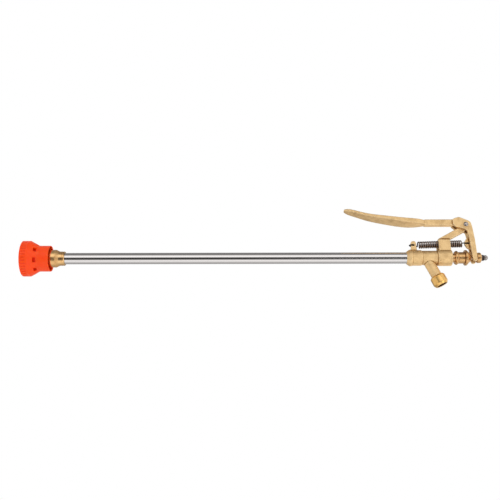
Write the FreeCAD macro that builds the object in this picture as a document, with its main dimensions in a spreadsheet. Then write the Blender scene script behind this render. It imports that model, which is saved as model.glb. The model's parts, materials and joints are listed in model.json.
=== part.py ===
"""Hand-held high-pressure spray lance with a lever valve, about 60 cm long.

Frame: X runs along the tube towards the operating rod's nut, Z is up on the lever's side, and the
origin lies on the tube's axis in the front face of the cast valve body. All sizes are millimetres.
"""
import FreeCAD, Part
import math
import os
import Sketcher

Vector = FreeCAD.Vector

SIZES = {
    # Tube and operating rod
    "tube_diameter": 14.5,
    "tube_wall": 1.0,
    "tube_length": 462.0,
    "tube_socket_depth": 13.0,
    "tube_seal_thickness": 1.5,
    "rod_diameter": 5.6,
    "running_gap": 0.06,
    # Nozzle body, turned brass
    "nozzle_rim_length": 2.2,
    "nozzle_rim_radius": 8.5,
    "nozzle_rim_chamfer": 0.9,
    "nozzle_collar_length": 4.6,
    "nozzle_collar_radius": 9.15,
    "nozzle_groove_width": 0.7,
    "nozzle_groove_depth": 0.5,
    "nozzle_taper_length": 4.6,
    "nozzle_waist_radius": 9.15,
    "nozzle_belly_length": 9.2,
    "nozzle_belly_radius": 11.35,
    "nozzle_belly_round": 1.6,
    "nozzle_shoulder_length": 2.0,
    "nozzle_neck_radius": 8.3,
    "nozzle_neck_length": 4.3,
    "nozzle_flange_thickness": 3.0,
    "nozzle_flange_radius": 10.5,
    "nozzle_spigot_radius": 8.0,
    "nozzle_spigot_length": 11.0,
    "nozzle_bore_radius": 5.2,
    # Nozzle cap, disc and seal
    "cap_wall": 2.5,
    "cap_across_flats": 22.0,
    "cap_mouth_radius": 4.5,
    "cap_mouth_flare": 1.2,
    "cap_chamfer": 0.5,
    "cap_chamfer_slope": 1.6,
    "disc_thickness": 1.5,
    "disc_orifice_radius": 1.0,
    "disc_flare": 0.5,
    "seal_thickness": 1.0,
    "seat_gap": 0.1,
    # Needle plug on the rod's front end
    "plug_tip_radius": 1.6,
    "plug_cone_length": 4.0,
    "plug_guide_length": 9.0,
    "plug_socket_depth": 6.0,
    "plug_flutes": 3,
    "plug_flute_width": 2.0,
    "plug_flute_depth": 1.3,
    # Spray hood, moulded plastic
    "hood_nose": 21.0,
    "hood_radius": 22.75,
    "hood_drum_length": 9.6,
    "hood_cone_length": 11.8,
    "hood_rear_radius": 16.5,
    "hood_rear_length": 13.7,
    "hood_wall": 1.8,
    "hood_web_thickness": 2.5,
    "hood_core_radius": 15.0,
    "hood_core_wall": 1.2,
    "hood_core_length": 9.6,
    "hood_window_length": 3.6,
    "hood_window_width": 6.2,
    "hood_window_inset": 1.6,
    "hood_window_gap": 0.3,
    "hood_windows": 8,
    "hood_grips": 36,
    "hood_grip_width": 1.4,
    "hood_grip_depth": 0.45,
    "hood_grip_inset": 1.6,
    "hood_round": 0.8,
    "hood_turn": 26.0,
    # Valve body, sand-cast brass
    "nose_radius": 7.6,
    "nose_length": 4.1,
    "ridge_radius": 10.6,
    "ridge_length": 2.8,
    "front_radius": 10.0,
    "front_length": 12.6,
    "middle_radius": 9.2,
    "middle_length": 20.2,
    "rear_radius": 10.4,
    "rear_length": 18.3,
    "chamber_radius": 6.0,
    "packing_bore_radius": 5.8,
    "packing_length": 6.0,
    "follower_thickness": 2.0,
    "casting_round": 0.5,
    "mouth_chamfer": 0.8,
    # Inlet branch and its turned socket
    "branch_x": 25.8,
    "branch_tilt": 24.5,
    "branch_radius": 6.7,
    "branch_bore_radius": 4.2,
    "branch_length": 30.6,
    "socket_lap": 3.5,
    "socket_web": 1.4,
    "socket_thread_radius": 6.4,
    "socket_thread_depth": 7.2,
    "socket_radius": 9.6,
    "socket_shoulder": 1.6,
    "socket_shoulder_radius": 8.2,
    "socket_lip": 1.5,
    "inlet_seal_thickness": 1.2,
    "inlet_seal_radius": 6.0,
    # Hook lug on the valve body
    "lug_x": 10.9,
    "lug_height": 20.6,
    "lug_head_radius": 3.4,
    "lug_thickness": 3.2,
    "lug_foot": 8.4,
    "lug_flare": 0.9,
    "lug_top_round": 2.0,
    "lug_side_round": 2.5,
    "lug_hole_radius": 1.1,
    "hook_height": 17.4,
    # Post, arm and pivot
    "post_start": 41.8,
    "post_length": 15.0,
    "post_half_width": 7.6,
    "post_height": 22.3,
    "shoulder_height": 3.3,
    "shoulder_lean": 1.4,
    "tunnel_radius": 5.4,
    "arm_thickness": 5.6,
    "arm_width": 8.1,
    "arm_angle": 29.3,
    "pivot_x": 79.9,
    "pivot_z": 44.4,
    "pivot_boss_radius": 4.3,
    "boss_gap": 0.5,
    "pin_diameter": 5.0,
    "pin_head_radius": 3.1,
    "pin_head_height": 1.7,
    "pin_head_round": 0.8,
    "pin_head_land": 0.6,
    "pin_peen": 0.5,
    "pin_peen_height": 0.9,
    "pin_washer_radius": 4.2,
    "pin_washer_thickness": 0.9,
    # Lever, cast brass
    "fork_half_width": 6.3,
    "fork_gap": 3.15,
    "fork_end_x": 86.9,
    "fork_end_z": -3.3,
    "fork_end_radius": 3.1,
    "fork_slot_height": 14.5,
    "head_round": 3.0,
    "arm_slot_start": 20.0,
    "arm_slot_rise": 0.6,
    "arm_slot_depth": 12.0,
    "arm_heel": 1.5,
    "ear_thickness": 3.2,
    "ear_hole_x": 81.9,
    "ear_hole_z": 19.7,
    "ear_hole_radius": 1.1,
    "ear_reach": 5.1,
    "ear_round": 1.8,
    "ear_clearance": 1.2,
    "bar_start": 27.3,
    "bar_height": 7.7,
    "bar_width": 7.9,
    "bar_z": 48.6,
    "bar_end_inset": 12.0,
    # Gland nut
    "gland_thread_length": 7.5,
    "gland_neck_radius": 5.5,
    "gland_neck_length": 3.9,
    "gland_flange_radius": 9.4,
    "gland_flange_length": 4.3,
    "gland_flange_step": 0.4,
    "gland_flange_round": 1.2,
    "gland_barrel_radius": 7.4,
    "gland_barrel_length": 8.1,
    # Sleeve, stop collar, washer and dome nut on the rod
    "sleeve_gap": 0.3,
    "sleeve_flange_radius": 10.0,
    "sleeve_flange_length": 2.2,
    "sleeve_cone_length": 4.8,
    "sleeve_cone_radius": 5.2,
    "sleeve_round": 0.9,
    "fork_slot_length": 8.6,
    "collar_radius": 6.7,
    "collar_length": 5.2,
    "collar_round": 1.5,
    "end_washer_radius": 4.5,
    "end_washer_thickness": 0.8,
    "nut_across_flats": 7.2,
    "nut_hex_length": 3.0,
    "nut_dome_radius": 3.3,
    "nut_dome_rise": 2.2,
    "rod_stud_radius": 2.0,
    "rod_stud_reach": 1.0,
    # Return spring
    "wire_diameter": 1.5,
    "coil_diameter": 9.6,
    "coil_turns": 24,
    "coil_start": 16.8,
    "coil_end": 73.2,
    "hook_gap": 0.2,
    "hook_lead": 2.6,
    "hook_tail": 2.4,
}

HANDLE_SECTIONS = [
    # Place along X, height of the centre, width, thickness
    (19.5, 48.9, 14.4, 8.2),
    (9.0, 49.2, 18.4, 8.3),
    (-6.5, 50.7, 20.0, 7.5),
    (-27.2, 53.9, 19.4, 5.9),
    (-47.9, 58.0, 16.4, 5.0),
    (-63.0, 62.7, 14.2, 4.6),
    (-70.8, 65.0, 12.2, 4.2),
    (-74.6, 66.0, 8.6, 3.3),
    (-76.5, 66.4, 5.0, 2.4),
]
"""Sections of the lever's handle from behind the bar to its tip."""

HEAD_OUTLINE = [
    # Distance along X and height, both from the pivot
    (-16.6, 0.2),
    (-12.8, -3.4),
    (-8.9, -4.3),
    (-2.0, -6.5),
    (0.9, -8.6),
    (2.2, -17.5),
]
"""Underside of the lever's head, from the bar round to the fork link's inner edge."""

CROWN_OUTLINE = [
    # Distance along X and height, both from the pivot
    (9.5, -21.0),
    (8.0, -3.8),
    (6.6, 3.0),
    (3.6, 5.6),
    (-8.0, 10.7),
    (-13.6, 9.1),
    (-16.6, 7.4),
]
"""Back and top of the lever's head, from the fork link's outer edge to the bar."""

EAR_OUTLINE = [
    # Distance along X in shares of the ear's reach, distance along X, and height, from the ear's hole
    (0.0, 1.6, -8.4),
    (-0.5, 0.0, -6.6),
    (-1.0, 0.0, -2.2),
    (-1.0, 0.0, 2.0),
    (-0.45, 0.0, 6.4),
    (0.0, 0.8, 9.6),
    (0.0, 3.4, 9.6),
    (0.0, 5.0, -8.4),
]
"""Spring's ear on the front of the fork link."""

TABLES = {
    "handle": (HANDLE_SECTIONS, ("place", "rise", "width", "thickness")),
    "head": (HEAD_OUTLINE, ("place", "rise")),
    "crown": (CROWN_OUTLINE, ("place", "rise")),
    "ear": (EAR_OUTLINE, ("share", "place", "rise")),
}

for table_name, (rows, columns) in TABLES.items():
    for number, cells in enumerate(rows, start=1):
        for column, cell in zip(columns, cells):
            SIZES[f"{table_name}_{column}_of_{number}"] = cell


class Size:
    """A size and the sheet expression that drives it."""

    def __init__(self, value, text):
        self.value = value
        self.text = text

    def __add__(self, other):
        other = as_size(other)
        return Size(self.value + other.value, f"({self.text} + {other.text})")

    def __sub__(self, other):
        other = as_size(other)
        return Size(self.value - other.value, f"({self.text} - {other.text})")

    def __rsub__(self, other):
        return as_size(other) - self

    def __neg__(self):
        return Size(-self.value, f"(-{self.text})")

    def __mul__(self, other):
        other = as_size(other)
        return Size(self.value * other.value, f"({self.text} * {other.text})")

    def __truediv__(self, other):
        other = as_size(other)
        return Size(self.value / other.value, f"({self.text} / {other.text})")

    __radd__ = __add__
    __rmul__ = __mul__


def as_size(number):
    return number if isinstance(number, Size) else Size(float(number), f"{number:g}")


class Dimensions:
    """The spreadsheet of driving dimensions, read as attributes."""

    def __init__(self, doc, sizes):
        self.sheet = doc.addObject("Spreadsheet::Sheet", "dims")
        for row, (name, value) in enumerate(sizes.items(), start=1):
            self.sheet.set(f"A{row}", name)
            self.sheet.set(f"B{row}", str(value))
            self.sheet.setAlias(f"B{row}", name)
        doc.recompute()

    def __getattr__(self, name):
        return Size(float(self.sheet.get(name)), f"dims.{name}")


doc = FreeCAD.newDocument("spray_lance")
dims = Dimensions(doc, SIZES)


def table_rows(name):
    """Rows of one table as sizes of the sheet."""
    rows, columns = TABLES[name]
    numbers = range(1, len(rows) + 1)
    return [[getattr(dims, f"{name}_{column}_of_{number}") for column in columns] for number in numbers]


def make_body(label):
    body = doc.addObject("PartDesign::Body", label)
    body.Label = label
    return body


def plane_of(body, role):
    return [plane for plane in body.Origin.OriginFeatures if plane.Role == role][0]


def draw_outline(sketch, points):
    """Closes the points with lines and ties each one to the sheet by its two coordinates."""
    places = [(as_size(x), as_size(y)) for x, y in points]
    count = len(places)
    for i in range(count):
        x0, y0 = places[i]
        x1, y1 = places[(i + 1) % count]
        line = Part.LineSegment(Vector(x0.value, y0.value, 0), Vector(x1.value, y1.value, 0))
        sketch.addGeometry(line, False)
    for i in range(count):
        sketch.addConstraint(Sketcher.Constraint("Coincident", i, 2, (i + 1) % count, 1))
    for i, place in enumerate(places):
        tie_point(sketch, i, 1, place)


def make_sketch(body, role, name, points):
    sketch = body.newObject("Sketcher::SketchObject", name)
    sketch.AttachmentSupport = [(plane_of(body, role), "")]
    sketch.MapMode = "FlatFace"
    draw_outline(sketch, points)
    return sketch


def revolve(body, points, role="XZ_Plane", axis="H_Axis"):
    """Turns a half profile about the sketch's own axis."""
    sketch = make_sketch(body, role, body.Label + "_profile", points)
    turned = body.newObject("PartDesign::Revolution", body.Label + "_turned")
    turned.Profile = sketch
    turned.ReferenceAxis = (sketch, [axis])
    turned.Angle = 360
    doc.recompute()
    return turned


def make_turned(label, points):
    body = make_body(label)
    revolve(body, points)
    return body


def add_pad(body, name, points, thickness):
    """Pads an outline in the XZ plane equally to both sides."""
    sketch = make_sketch(body, "XZ_Plane", name + "_outline", points)
    pad = body.newObject("PartDesign::Pad", name)
    pad.Profile = sketch
    pad.SideType = "Symmetric"
    pad.setExpression("Length", as_size(thickness).text)
    doc.recompute()
    return pad


def add_pocket(body, name, points, width):
    sketch = make_sketch(body, "XZ_Plane", name + "_outline", points)
    pocket = body.newObject("PartDesign::Pocket", name)
    pocket.Profile = sketch
    pocket.SideType = "Symmetric"
    pocket.setExpression("Length", as_size(width).text)
    doc.recompute()
    return pocket


def round_corners(body, name, points, radius):
    """Fillets the edges that run along Y through the given points of an outline."""
    found = []
    for i, edge in enumerate(body.Shape.Edges, start=1):
        box = edge.BoundBox
        if box.YLength < 1.0 or box.XLength > 1e-6 or box.ZLength > 1e-6:
            continue
        for x, z in points:
            if abs(box.XMin - as_size(x).value) < 1e-4 and abs(box.ZMin - as_size(z).value) < 1e-4:
                found.append(f"Edge{i}")
    base = body.Tip
    fillet = body.newObject("PartDesign::Fillet", name)
    fillet.Base = (base, found)
    fillet.setExpression("Radius", as_size(radius).text)
    doc.recompute()
    return fillet


def round_rims(body, name, rims, radius):
    """Fillets the circles about X that have the given places and radii."""
    found = []
    for i, edge in enumerate(body.Shape.Edges, start=1):
        if not isinstance(edge.Curve, Part.Circle):
            continue
        for x, r in rims:
            near = abs(edge.Curve.Center.x - as_size(x).value) < 1e-4
            if near and abs(edge.Curve.Radius - as_size(r).value) < 1e-4:
                found.append(f"Edge{i}")
    base = body.Tip
    fillet = body.newObject("PartDesign::Fillet", name)
    fillet.Base = (base, found)
    fillet.setExpression("Radius", as_size(radius).text)
    doc.recompute()
    return fillet


def make_cylinder(name, radius, height, place, turn=None):
    """A Part cylinder whose size and place follow the sheet; turn is an axis and an angle."""
    solid = doc.addObject("Part::Cylinder", name)
    solid.setExpression("Radius", as_size(radius).text)
    solid.setExpression("Height", as_size(height).text)
    if turn:
        axis, angle = turn
        solid.Placement = FreeCAD.Placement(Vector(), FreeCAD.Rotation(axis, as_size(angle).value))
        solid.setExpression("Placement.Rotation.Angle", as_size(angle).text)
    for axis_name, size in zip("xyz", place):
        solid.setExpression(f"Placement.Base.{axis_name}", as_size(size).text)
    return solid


def fuse(name, solids):
    result = doc.addObject("Part::MultiFuse", name)
    result.Shapes = solids
    doc.recompute()
    return result


def cut(name, base, tool):
    result = doc.addObject("Part::Cut", name)
    result.Base = base
    result.Tool = tool
    doc.recompute()
    return result


ALONG_X = (Vector(0, 1, 0), 90)
ALONG_Y = (Vector(1, 0, 0), 90)

body_end = dims.nose_length + dims.ridge_length + dims.front_length + dims.middle_length + dims.rear_length
rod_radius = dims.rod_diameter / 2
rod_bore = rod_radius + dims.running_gap
tube_radius = dims.tube_diameter / 2
tube_rear = dims.tube_socket_depth
tube_front = tube_rear - dims.tube_length
nozzle_rear = tube_front + dims.tube_socket_depth
belly_start = nozzle_rear - dims.nozzle_rim_length - dims.nozzle_collar_length - dims.nozzle_taper_length
belly_end = belly_start - dims.nozzle_belly_length
shoulder_end = belly_end - dims.nozzle_shoulder_length
flange_rear = shoulder_end - dims.nozzle_neck_length
flange_front = flange_rear - dims.nozzle_flange_thickness
spigot_front = flange_front - dims.nozzle_spigot_length
web_front = flange_front - dims.hood_web_thickness
seal_front = spigot_front - dims.seal_thickness
disc_front = seal_front - dims.disc_thickness
cap_front = disc_front - dims.cap_wall
packing_start = body_end - dims.packing_length - dims.follower_thickness - dims.gland_thread_length
follower_start = packing_start + dims.packing_length
gland_start = follower_start + dims.follower_thickness
gland_flange_start = body_end + dims.gland_neck_length
gland_barrel_start = gland_flange_start + dims.gland_flange_length
gland_end = gland_barrel_start + dims.gland_barrel_length
sleeve_start = gland_end + dims.sleeve_gap
cone_start = sleeve_start + dims.sleeve_flange_length
sleeve_end = cone_start + dims.sleeve_cone_length
collar_start = sleeve_end + dims.fork_slot_length
collar_end = collar_start + dims.collar_length
nut_start = collar_end + dims.end_washer_thickness
nut_hex_end = nut_start + dims.nut_hex_length
stud_end = nut_hex_end + dims.rod_stud_reach
plug_tip = seal_front + dims.seat_gap
plug_cone_end = plug_tip + dims.plug_cone_length
plug_rear = plug_cone_end + dims.plug_guide_length
rod_front = plug_rear - dims.plug_socket_depth
branch_turn = (Vector(0, 1, 0), 180 - dims.branch_tilt)
branch_place = (dims.branch_x, 0, 0)


def make_lance_tube():
    inner = tube_radius - dims.tube_wall
    front = tube_front + dims.tube_seal_thickness
    rear = tube_rear - dims.tube_seal_thickness
    return make_turned("lance_tube", [
        (front, inner), (rear, inner), (rear, tube_radius), (front, tube_radius),
    ])


def make_tube_seal(label, start):
    end = start + dims.tube_seal_thickness
    inner = tube_radius - dims.tube_wall
    return make_turned(label, [(start, inner), (end, inner), (end, tube_radius), (start, tube_radius)])


def make_nozzle_body():
    collar_start_x = nozzle_rear - dims.nozzle_rim_length
    waist = collar_start_x - dims.nozzle_collar_length
    groove = dims.nozzle_collar_radius - dims.nozzle_groove_depth
    groove_end = collar_start_x - dims.nozzle_groove_width
    body = make_turned("nozzle_body", [
        (spigot_front, dims.nozzle_bore_radius),
        (tube_front, dims.nozzle_bore_radius),
        (tube_front, tube_radius),
        (nozzle_rear, tube_radius),
        (nozzle_rear, dims.nozzle_rim_radius),
        (nozzle_rear - dims.nozzle_rim_chamfer, dims.nozzle_collar_radius),
        (collar_start_x, dims.nozzle_collar_radius),
        (collar_start_x, groove),
        (groove_end, groove),
        (groove_end, dims.nozzle_collar_radius),
        (waist, dims.nozzle_waist_radius),
        (belly_start, dims.nozzle_belly_radius),
        (belly_end, dims.nozzle_belly_radius),
        (shoulder_end, dims.nozzle_neck_radius),
        (flange_rear, dims.nozzle_neck_radius),
        (flange_rear, dims.nozzle_flange_radius),
        (flange_front, dims.nozzle_flange_radius),
        (flange_front, dims.nozzle_spigot_radius),
        (spigot_front, dims.nozzle_spigot_radius),
    ])
    rims = [(belly_start, dims.nozzle_belly_radius), (belly_end, dims.nozzle_belly_radius)]
    round_rims(body, "nozzle_belly_round", rims, dims.nozzle_belly_round)
    return body


def make_nozzle_cap():
    """Hexagonal cap nut that clamps the seal, the disc and the hood's web on the spigot."""
    body = make_body("nozzle_cap")
    sketch = body.newObject("Sketcher::SketchObject", "nozzle_cap_hexagon")
    sketch.AttachmentSupport = [(plane_of(body, "YZ_Plane"), "")]
    sketch.MapMode = "FlatFace"
    sketch.setExpression(".AttachmentOffset.Base.z", cap_front.text)
    draw_hexagon(sketch, dims.cap_across_flats)
    pad = body.newObject("PartDesign::Pad", "nozzle_cap_blank")
    pad.Profile = sketch
    pad.setExpression("Length", (web_front - cap_front).text)
    doc.recompute()
    thread = dims.nozzle_spigot_radius
    points = [
        (cap_front, 0),
        (cap_front, dims.cap_mouth_radius + dims.cap_mouth_flare),
        (disc_front, dims.cap_mouth_radius),
        (disc_front, thread),
        (web_front, thread),
        (web_front, 0),
    ]
    add_groove(body, "nozzle_cap_bore", points)
    corner = dims.cap_across_flats / math.sqrt(3)
    rim = dims.cap_across_flats / 2 - dims.cap_chamfer
    outside = corner + 1
    points = [
        (cap_front, rim),
        (cap_front + (outside - rim) * dims.cap_chamfer_slope, outside),
        (cap_front - 1, outside),
        (cap_front - 1, rim),
    ]
    add_groove(body, "nozzle_cap_chamfer", points)
    return body


def draw_hexagon(sketch, across_flats):
    """Draws a hexagon about the sketch's origin, its corners tied to the size across flats."""
    reach = across_flats / math.sqrt(3)
    corners = []
    for i in range(6):
        angle = math.radians(60 * i)
        corners.append((reach * round(math.cos(angle), 6), reach * round(math.sin(angle), 6)))
    draw_outline(sketch, corners)


def add_groove(body, name, points):
    sketch = make_sketch(body, "XZ_Plane", name + "_profile", points)
    groove = body.newObject("PartDesign::Groove", name)
    groove.Profile = sketch
    groove.ReferenceAxis = (sketch, ["H_Axis"])
    groove.Angle = 360
    doc.recompute()
    return groove


def make_nozzle_disc():
    rim = dims.nozzle_spigot_radius
    orifice = dims.disc_orifice_radius
    return make_turned("nozzle_disc", [
        (disc_front, orifice + dims.disc_flare),
        (disc_front + dims.disc_flare, orifice),
        (seal_front, orifice),
        (seal_front, rim),
        (disc_front, rim),
    ])


def make_nozzle_seal():
    inner = dims.nozzle_bore_radius
    rim = dims.nozzle_spigot_radius
    return make_turned("nozzle_seal", [
        (seal_front, inner), (spigot_front, inner), (spigot_front, rim), (seal_front, rim),
    ])


def make_needle():
    """Plug on the rod's front end; its cone closes the disc's orifice at rest."""
    plug = dims.nozzle_bore_radius - dims.running_gap
    body = make_turned("needle_plug", [
        (plug_tip, 0),
        (plug_tip, dims.plug_tip_radius),
        (plug_cone_end, plug),
        (plug_rear, plug),
        (plug_rear, rod_radius),
        (rod_front, rod_radius),
        (rod_front, 0),
    ])
    sketch = body.newObject("Sketcher::SketchObject", "plug_flute_outline")
    sketch.AttachmentSupport = [(plane_of(body, "YZ_Plane"), "")]
    sketch.MapMode = "FlatFace"
    sketch.setExpression(".AttachmentOffset.Base.z", plug_tip.text)
    half = dims.plug_flute_width / 2
    depth = plug - dims.plug_flute_depth
    draw_outline(sketch, [(-half, depth), (half, depth), (half, plug + 1), (-half, plug + 1)])
    flute = body.newObject("PartDesign::Pocket", "plug_flute")
    flute.Profile = sketch
    flute.Reversed = True
    flute.setExpression("Length", (plug_rear - plug_tip).text)
    doc.recompute()
    add_ring(body, "plug_flute_ring", flute, dims.plug_flutes)
    return body


def make_operating_rod():
    stud = dims.rod_stud_radius
    return make_turned("operating_rod", [
        (rod_front, 0),
        (rod_front, rod_radius),
        (collar_end, rod_radius),
        (collar_end, stud),
        (stud_end, stud),
        (stud_end, 0),
    ])


def make_spray_hood():
    """Shroud screwed on the nozzle's spigot; a sleeve inside it shields the cap behind the windows."""
    wall = dims.hood_wall
    front = web_front - dims.hood_nose
    drum_end = front + dims.hood_drum_length
    cone_end = drum_end + dims.hood_cone_length
    rear = cone_end + dims.hood_rear_length
    outer = dims.hood_radius
    rear_outer = dims.hood_rear_radius
    hole = dims.nozzle_spigot_radius
    inner = rear_outer - wall
    core = dims.hood_core_radius
    core_bore = core - dims.hood_core_wall
    core_front = web_front - dims.hood_core_length
    core_foot = cone_end - (core - inner) / (outer - rear_outer) * dims.hood_cone_length
    body = make_turned("spray_hood", [
        (front, outer - wall),
        (front, outer),
        (drum_end, outer),
        (cone_end, rear_outer),
        (rear, rear_outer),
        (rear, inner),
        (flange_front, inner),
        (flange_front, hole),
        (web_front, hole),
        (web_front, core_bore),
        (core_front, core_bore),
        (core_front, core),
        (core_foot, core),
        (drum_end, outer - wall),
    ])
    rims = [(front, outer), (drum_end, outer), (rear, rear_outer)]
    round_rims(body, "hood_rounds", rims, dims.hood_round)
    window_start = cone_end - dims.hood_window_length - dims.hood_window_inset
    window = add_hood_cut(body, "hood_window", window_start, dims.hood_window_length,
                          dims.hood_window_width, core + dims.hood_window_gap, outer - inner + 4)
    add_ring(body, "hood_window_ring", window, dims.hood_windows)
    grip_length = dims.hood_drum_length - dims.hood_grip_inset * 2
    grip = add_hood_cut(body, "hood_grip", front + dims.hood_grip_inset, grip_length,
                        dims.hood_grip_width, outer - dims.hood_grip_depth, 3)
    add_ring(body, "hood_grip_ring", grip, dims.hood_grips)
    body.Placement = FreeCAD.Placement(Vector(), FreeCAD.Rotation(Vector(1, 0, 0), dims.hood_turn.value))
    body.setExpression("Placement.Rotation.Angle", dims.hood_turn.text)
    doc.recompute()
    return body


def add_hood_cut(body, name, start, length, width, floor, reach):
    """Cuts a radial slot, standing on the given floor radius, that faces -Y."""
    sketch = body.newObject("Sketcher::SketchObject", name + "_outline")
    sketch.AttachmentSupport = [(plane_of(body, "XZ_Plane"), "")]
    sketch.MapMode = "FlatFace"
    sketch.setExpression(".AttachmentOffset.Base.z", as_size(floor).text)
    half = width / 2
    draw_outline(sketch, [(start, -half), (start + length, -half), (start + length, half), (start, half)])
    pocket = body.newObject("PartDesign::Pocket", name)
    pocket.Profile = sketch
    pocket.Reversed = True
    pocket.setExpression("Length", as_size(reach).text)
    doc.recompute()
    return pocket


def add_ring(body, name, feature, count):
    pattern = body.newObject("PartDesign::PolarPattern", name)
    pattern.Originals = [feature]
    pattern.Axis = (plane_of(body, "X_Axis"), [""])
    pattern.Angle = 360
    pattern.setExpression("Occurrences", count.text)
    body.Tip = pattern
    doc.recompute()


def make_valve_body():
    """Casting: stepped barrel, hook lug, tunnelled post with its arm, and the slanted inlet branch."""
    barrel = make_turned("valve_barrel", [
        (0, 0),
        (0, dims.nose_radius),
        (dims.nose_length, dims.ridge_radius),
        (dims.nose_length + dims.ridge_length, dims.ridge_radius),
        (dims.nose_length + dims.ridge_length, dims.front_radius),
        (dims.nose_length + dims.ridge_length + dims.front_length, dims.front_radius),
        (dims.nose_length + dims.ridge_length + dims.front_length, dims.middle_radius),
        (body_end - dims.rear_length, dims.middle_radius),
        (body_end - dims.rear_length, dims.rear_radius),
        (body_end - dims.mouth_chamfer, dims.rear_radius),
        (body_end, dims.rear_radius - dims.mouth_chamfer),
        (body_end, 0),
    ])
    rims = [
        (dims.nose_length, dims.ridge_radius),
        (dims.nose_length + dims.ridge_length, dims.ridge_radius),
        (dims.nose_length + dims.ridge_length + dims.front_length, dims.front_radius),
        (body_end - dims.rear_length, dims.rear_radius),
    ]
    round_rims(barrel, "valve_barrel_rounds", rims, dims.casting_round)
    solids = [barrel, make_lug(), make_post(), make_arm()]
    branch = make_cylinder("inlet_branch", dims.branch_radius, dims.branch_length, branch_place, branch_turn)
    solids.append(branch)
    casting = fuse("valve_casting", solids)
    bores = fuse("valve_bores", [
        make_cylinder("tube_socket", tube_radius, tube_rear + 1, (-1, 0, 0), ALONG_X),
        make_cylinder("chamber", dims.chamber_radius, packing_start - tube_rear, (tube_rear, 0, 0), ALONG_X),
        make_cylinder("packing_bore", dims.packing_bore_radius, body_end - packing_start + 1,
                      (packing_start, 0, 0), ALONG_X),
        make_cylinder("branch_bore", dims.branch_bore_radius, dims.branch_length + 1,
                      branch_place, branch_turn),
        make_cylinder("pivot_bore", dims.pin_diameter / 2 + dims.running_gap, dims.arm_thickness + 2,
                      (dims.pivot_x, dims.arm_thickness / 2 + 1, dims.pivot_z), ALONG_Y),
        make_cylinder("lug_hole", dims.lug_hole_radius, dims.lug_thickness + 2,
                      (dims.lug_x, dims.lug_thickness / 2 + 1, dims.hook_height), ALONG_Y),
        make_tunnel(),
    ])
    valve = cut("valve_body", casting, bores)
    return valve


def make_lug():
    head = dims.lug_head_radius
    front = dims.lug_x - head
    rear = dims.lug_x + head
    foot = front - dims.lug_flare
    base = dims.front_radius * 0.7
    neck = dims.lug_height - head * 1.2
    top = dims.lug_height + head * 0.7
    flat = head * 0.55
    body = make_body("hook_lug")
    add_pad(body, "lug_plate", [
        (foot, base),
        (front, neck),
        (front, dims.lug_height),
        (dims.lug_x - flat, top),
        (dims.lug_x + flat, top),
        (rear, dims.lug_height),
        (rear, neck),
        (foot + dims.lug_foot, base),
    ], dims.lug_thickness)
    tops = [(dims.lug_x - flat, top), (dims.lug_x + flat, top)]
    round_corners(body, "lug_top_rounds", tops, dims.lug_top_round)
    sides = [(front, dims.lug_height), (rear, dims.lug_height)]
    round_corners(body, "lug_side_rounds", sides, dims.lug_side_round)
    return body


def make_post():
    """Square post on the barrel, drawn in at the top to the thinner arm."""
    post = doc.addObject("Part::Box", "post_block")
    post.setExpression("Length", dims.post_length.text)
    post.setExpression("Width", (dims.post_half_width * 2).text)
    post.setExpression("Height", dims.post_height.text)
    post.setExpression("Placement.Base.x", dims.post_start.text)
    post.setExpression("Placement.Base.y", (-dims.post_half_width).text)
    shoulder = doc.addObject("Part::Wedge", "post_shoulder")
    lean = dims.shoulder_lean
    ends = {
        "Xmin": 0, "Xmax": dims.post_length, "X2min": lean, "X2max": dims.post_length + lean,
        "Ymin": 0, "Ymax": dims.shoulder_height,
        "Zmin": -dims.post_half_width, "Zmax": dims.post_half_width,
        "Z2min": -dims.arm_thickness / 2, "Z2max": dims.arm_thickness / 2,
    }
    for name, size in ends.items():
        shoulder.setExpression(name, as_size(size).text)
    shoulder.Placement = FreeCAD.Placement(Vector(), FreeCAD.Rotation(Vector(1, 0, 0), 90))
    shoulder.setExpression("Placement.Base.x", dims.post_start.text)
    shoulder.setExpression("Placement.Base.z", dims.post_height.text)
    return fuse("post", [post, shoulder])


def make_arm():
    """Diagonal arm from the post up to the round pivot boss."""
    body = make_body("pivot_arm")
    angle = dims.arm_angle
    rise = Size(math.tan(math.radians(angle.value)), f"tan({angle.text})")
    depth = dims.arm_width / Size(math.cos(math.radians(angle.value)), f"cos({angle.text})")
    boss_radius = dims.pivot_boss_radius
    start = dims.post_start + dims.shoulder_lean
    top = dims.post_height + dims.shoulder_height
    run = dims.pivot_x - start - boss_radius / 3
    under = start + dims.post_length
    heel = dims.pivot_x - dims.arm_heel
    add_pad(body, "arm_plate", [
        (start, dims.post_height - 1),
        (start, top),
        (start + run, top + run * rise),
        (dims.pivot_x + boss_radius / 3, dims.pivot_z - boss_radius * 0.94),
        (heel, top - depth + (heel - start) * rise),
        (under, top - depth + (under - start) * rise),
        (under, dims.post_height - 1),
    ], dims.arm_thickness)
    boss = make_cylinder("pivot_boss", boss_radius, dims.arm_thickness,
                         (dims.pivot_x, dims.arm_thickness / 2, dims.pivot_z), ALONG_Y)
    return fuse("arm", [body, boss])


def spring_line():
    """Ends of the spring's axis in the XZ plane: the lug's hook and the ear's hole."""
    start = Vector(dims.lug_x.value, 0, dims.hook_height.value)
    end = Vector(dims.ear_hole_x.value, 0, dims.ear_hole_z.value)
    return start, end


def make_tunnel():
    """Bore through the post along the spring's own slightly rising line."""
    rise = dims.ear_hole_z - dims.hook_height
    run = dims.ear_hole_x - dims.lug_x
    slope = Size(math.degrees(math.atan2(rise.value, run.value)), f"atan({rise.text} / {run.text})")
    before = dims.post_start - dims.lug_x - 2
    height = dims.hook_height + before * rise / run
    tilt = Size(90 - slope.value, f"90 - {slope.text} / 1 deg")
    return make_cylinder("spring_tunnel", dims.tunnel_radius, dims.post_length + 6,
                         (dims.post_start - 2, 0, height), (Vector(0, 1, 0), tilt))


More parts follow.
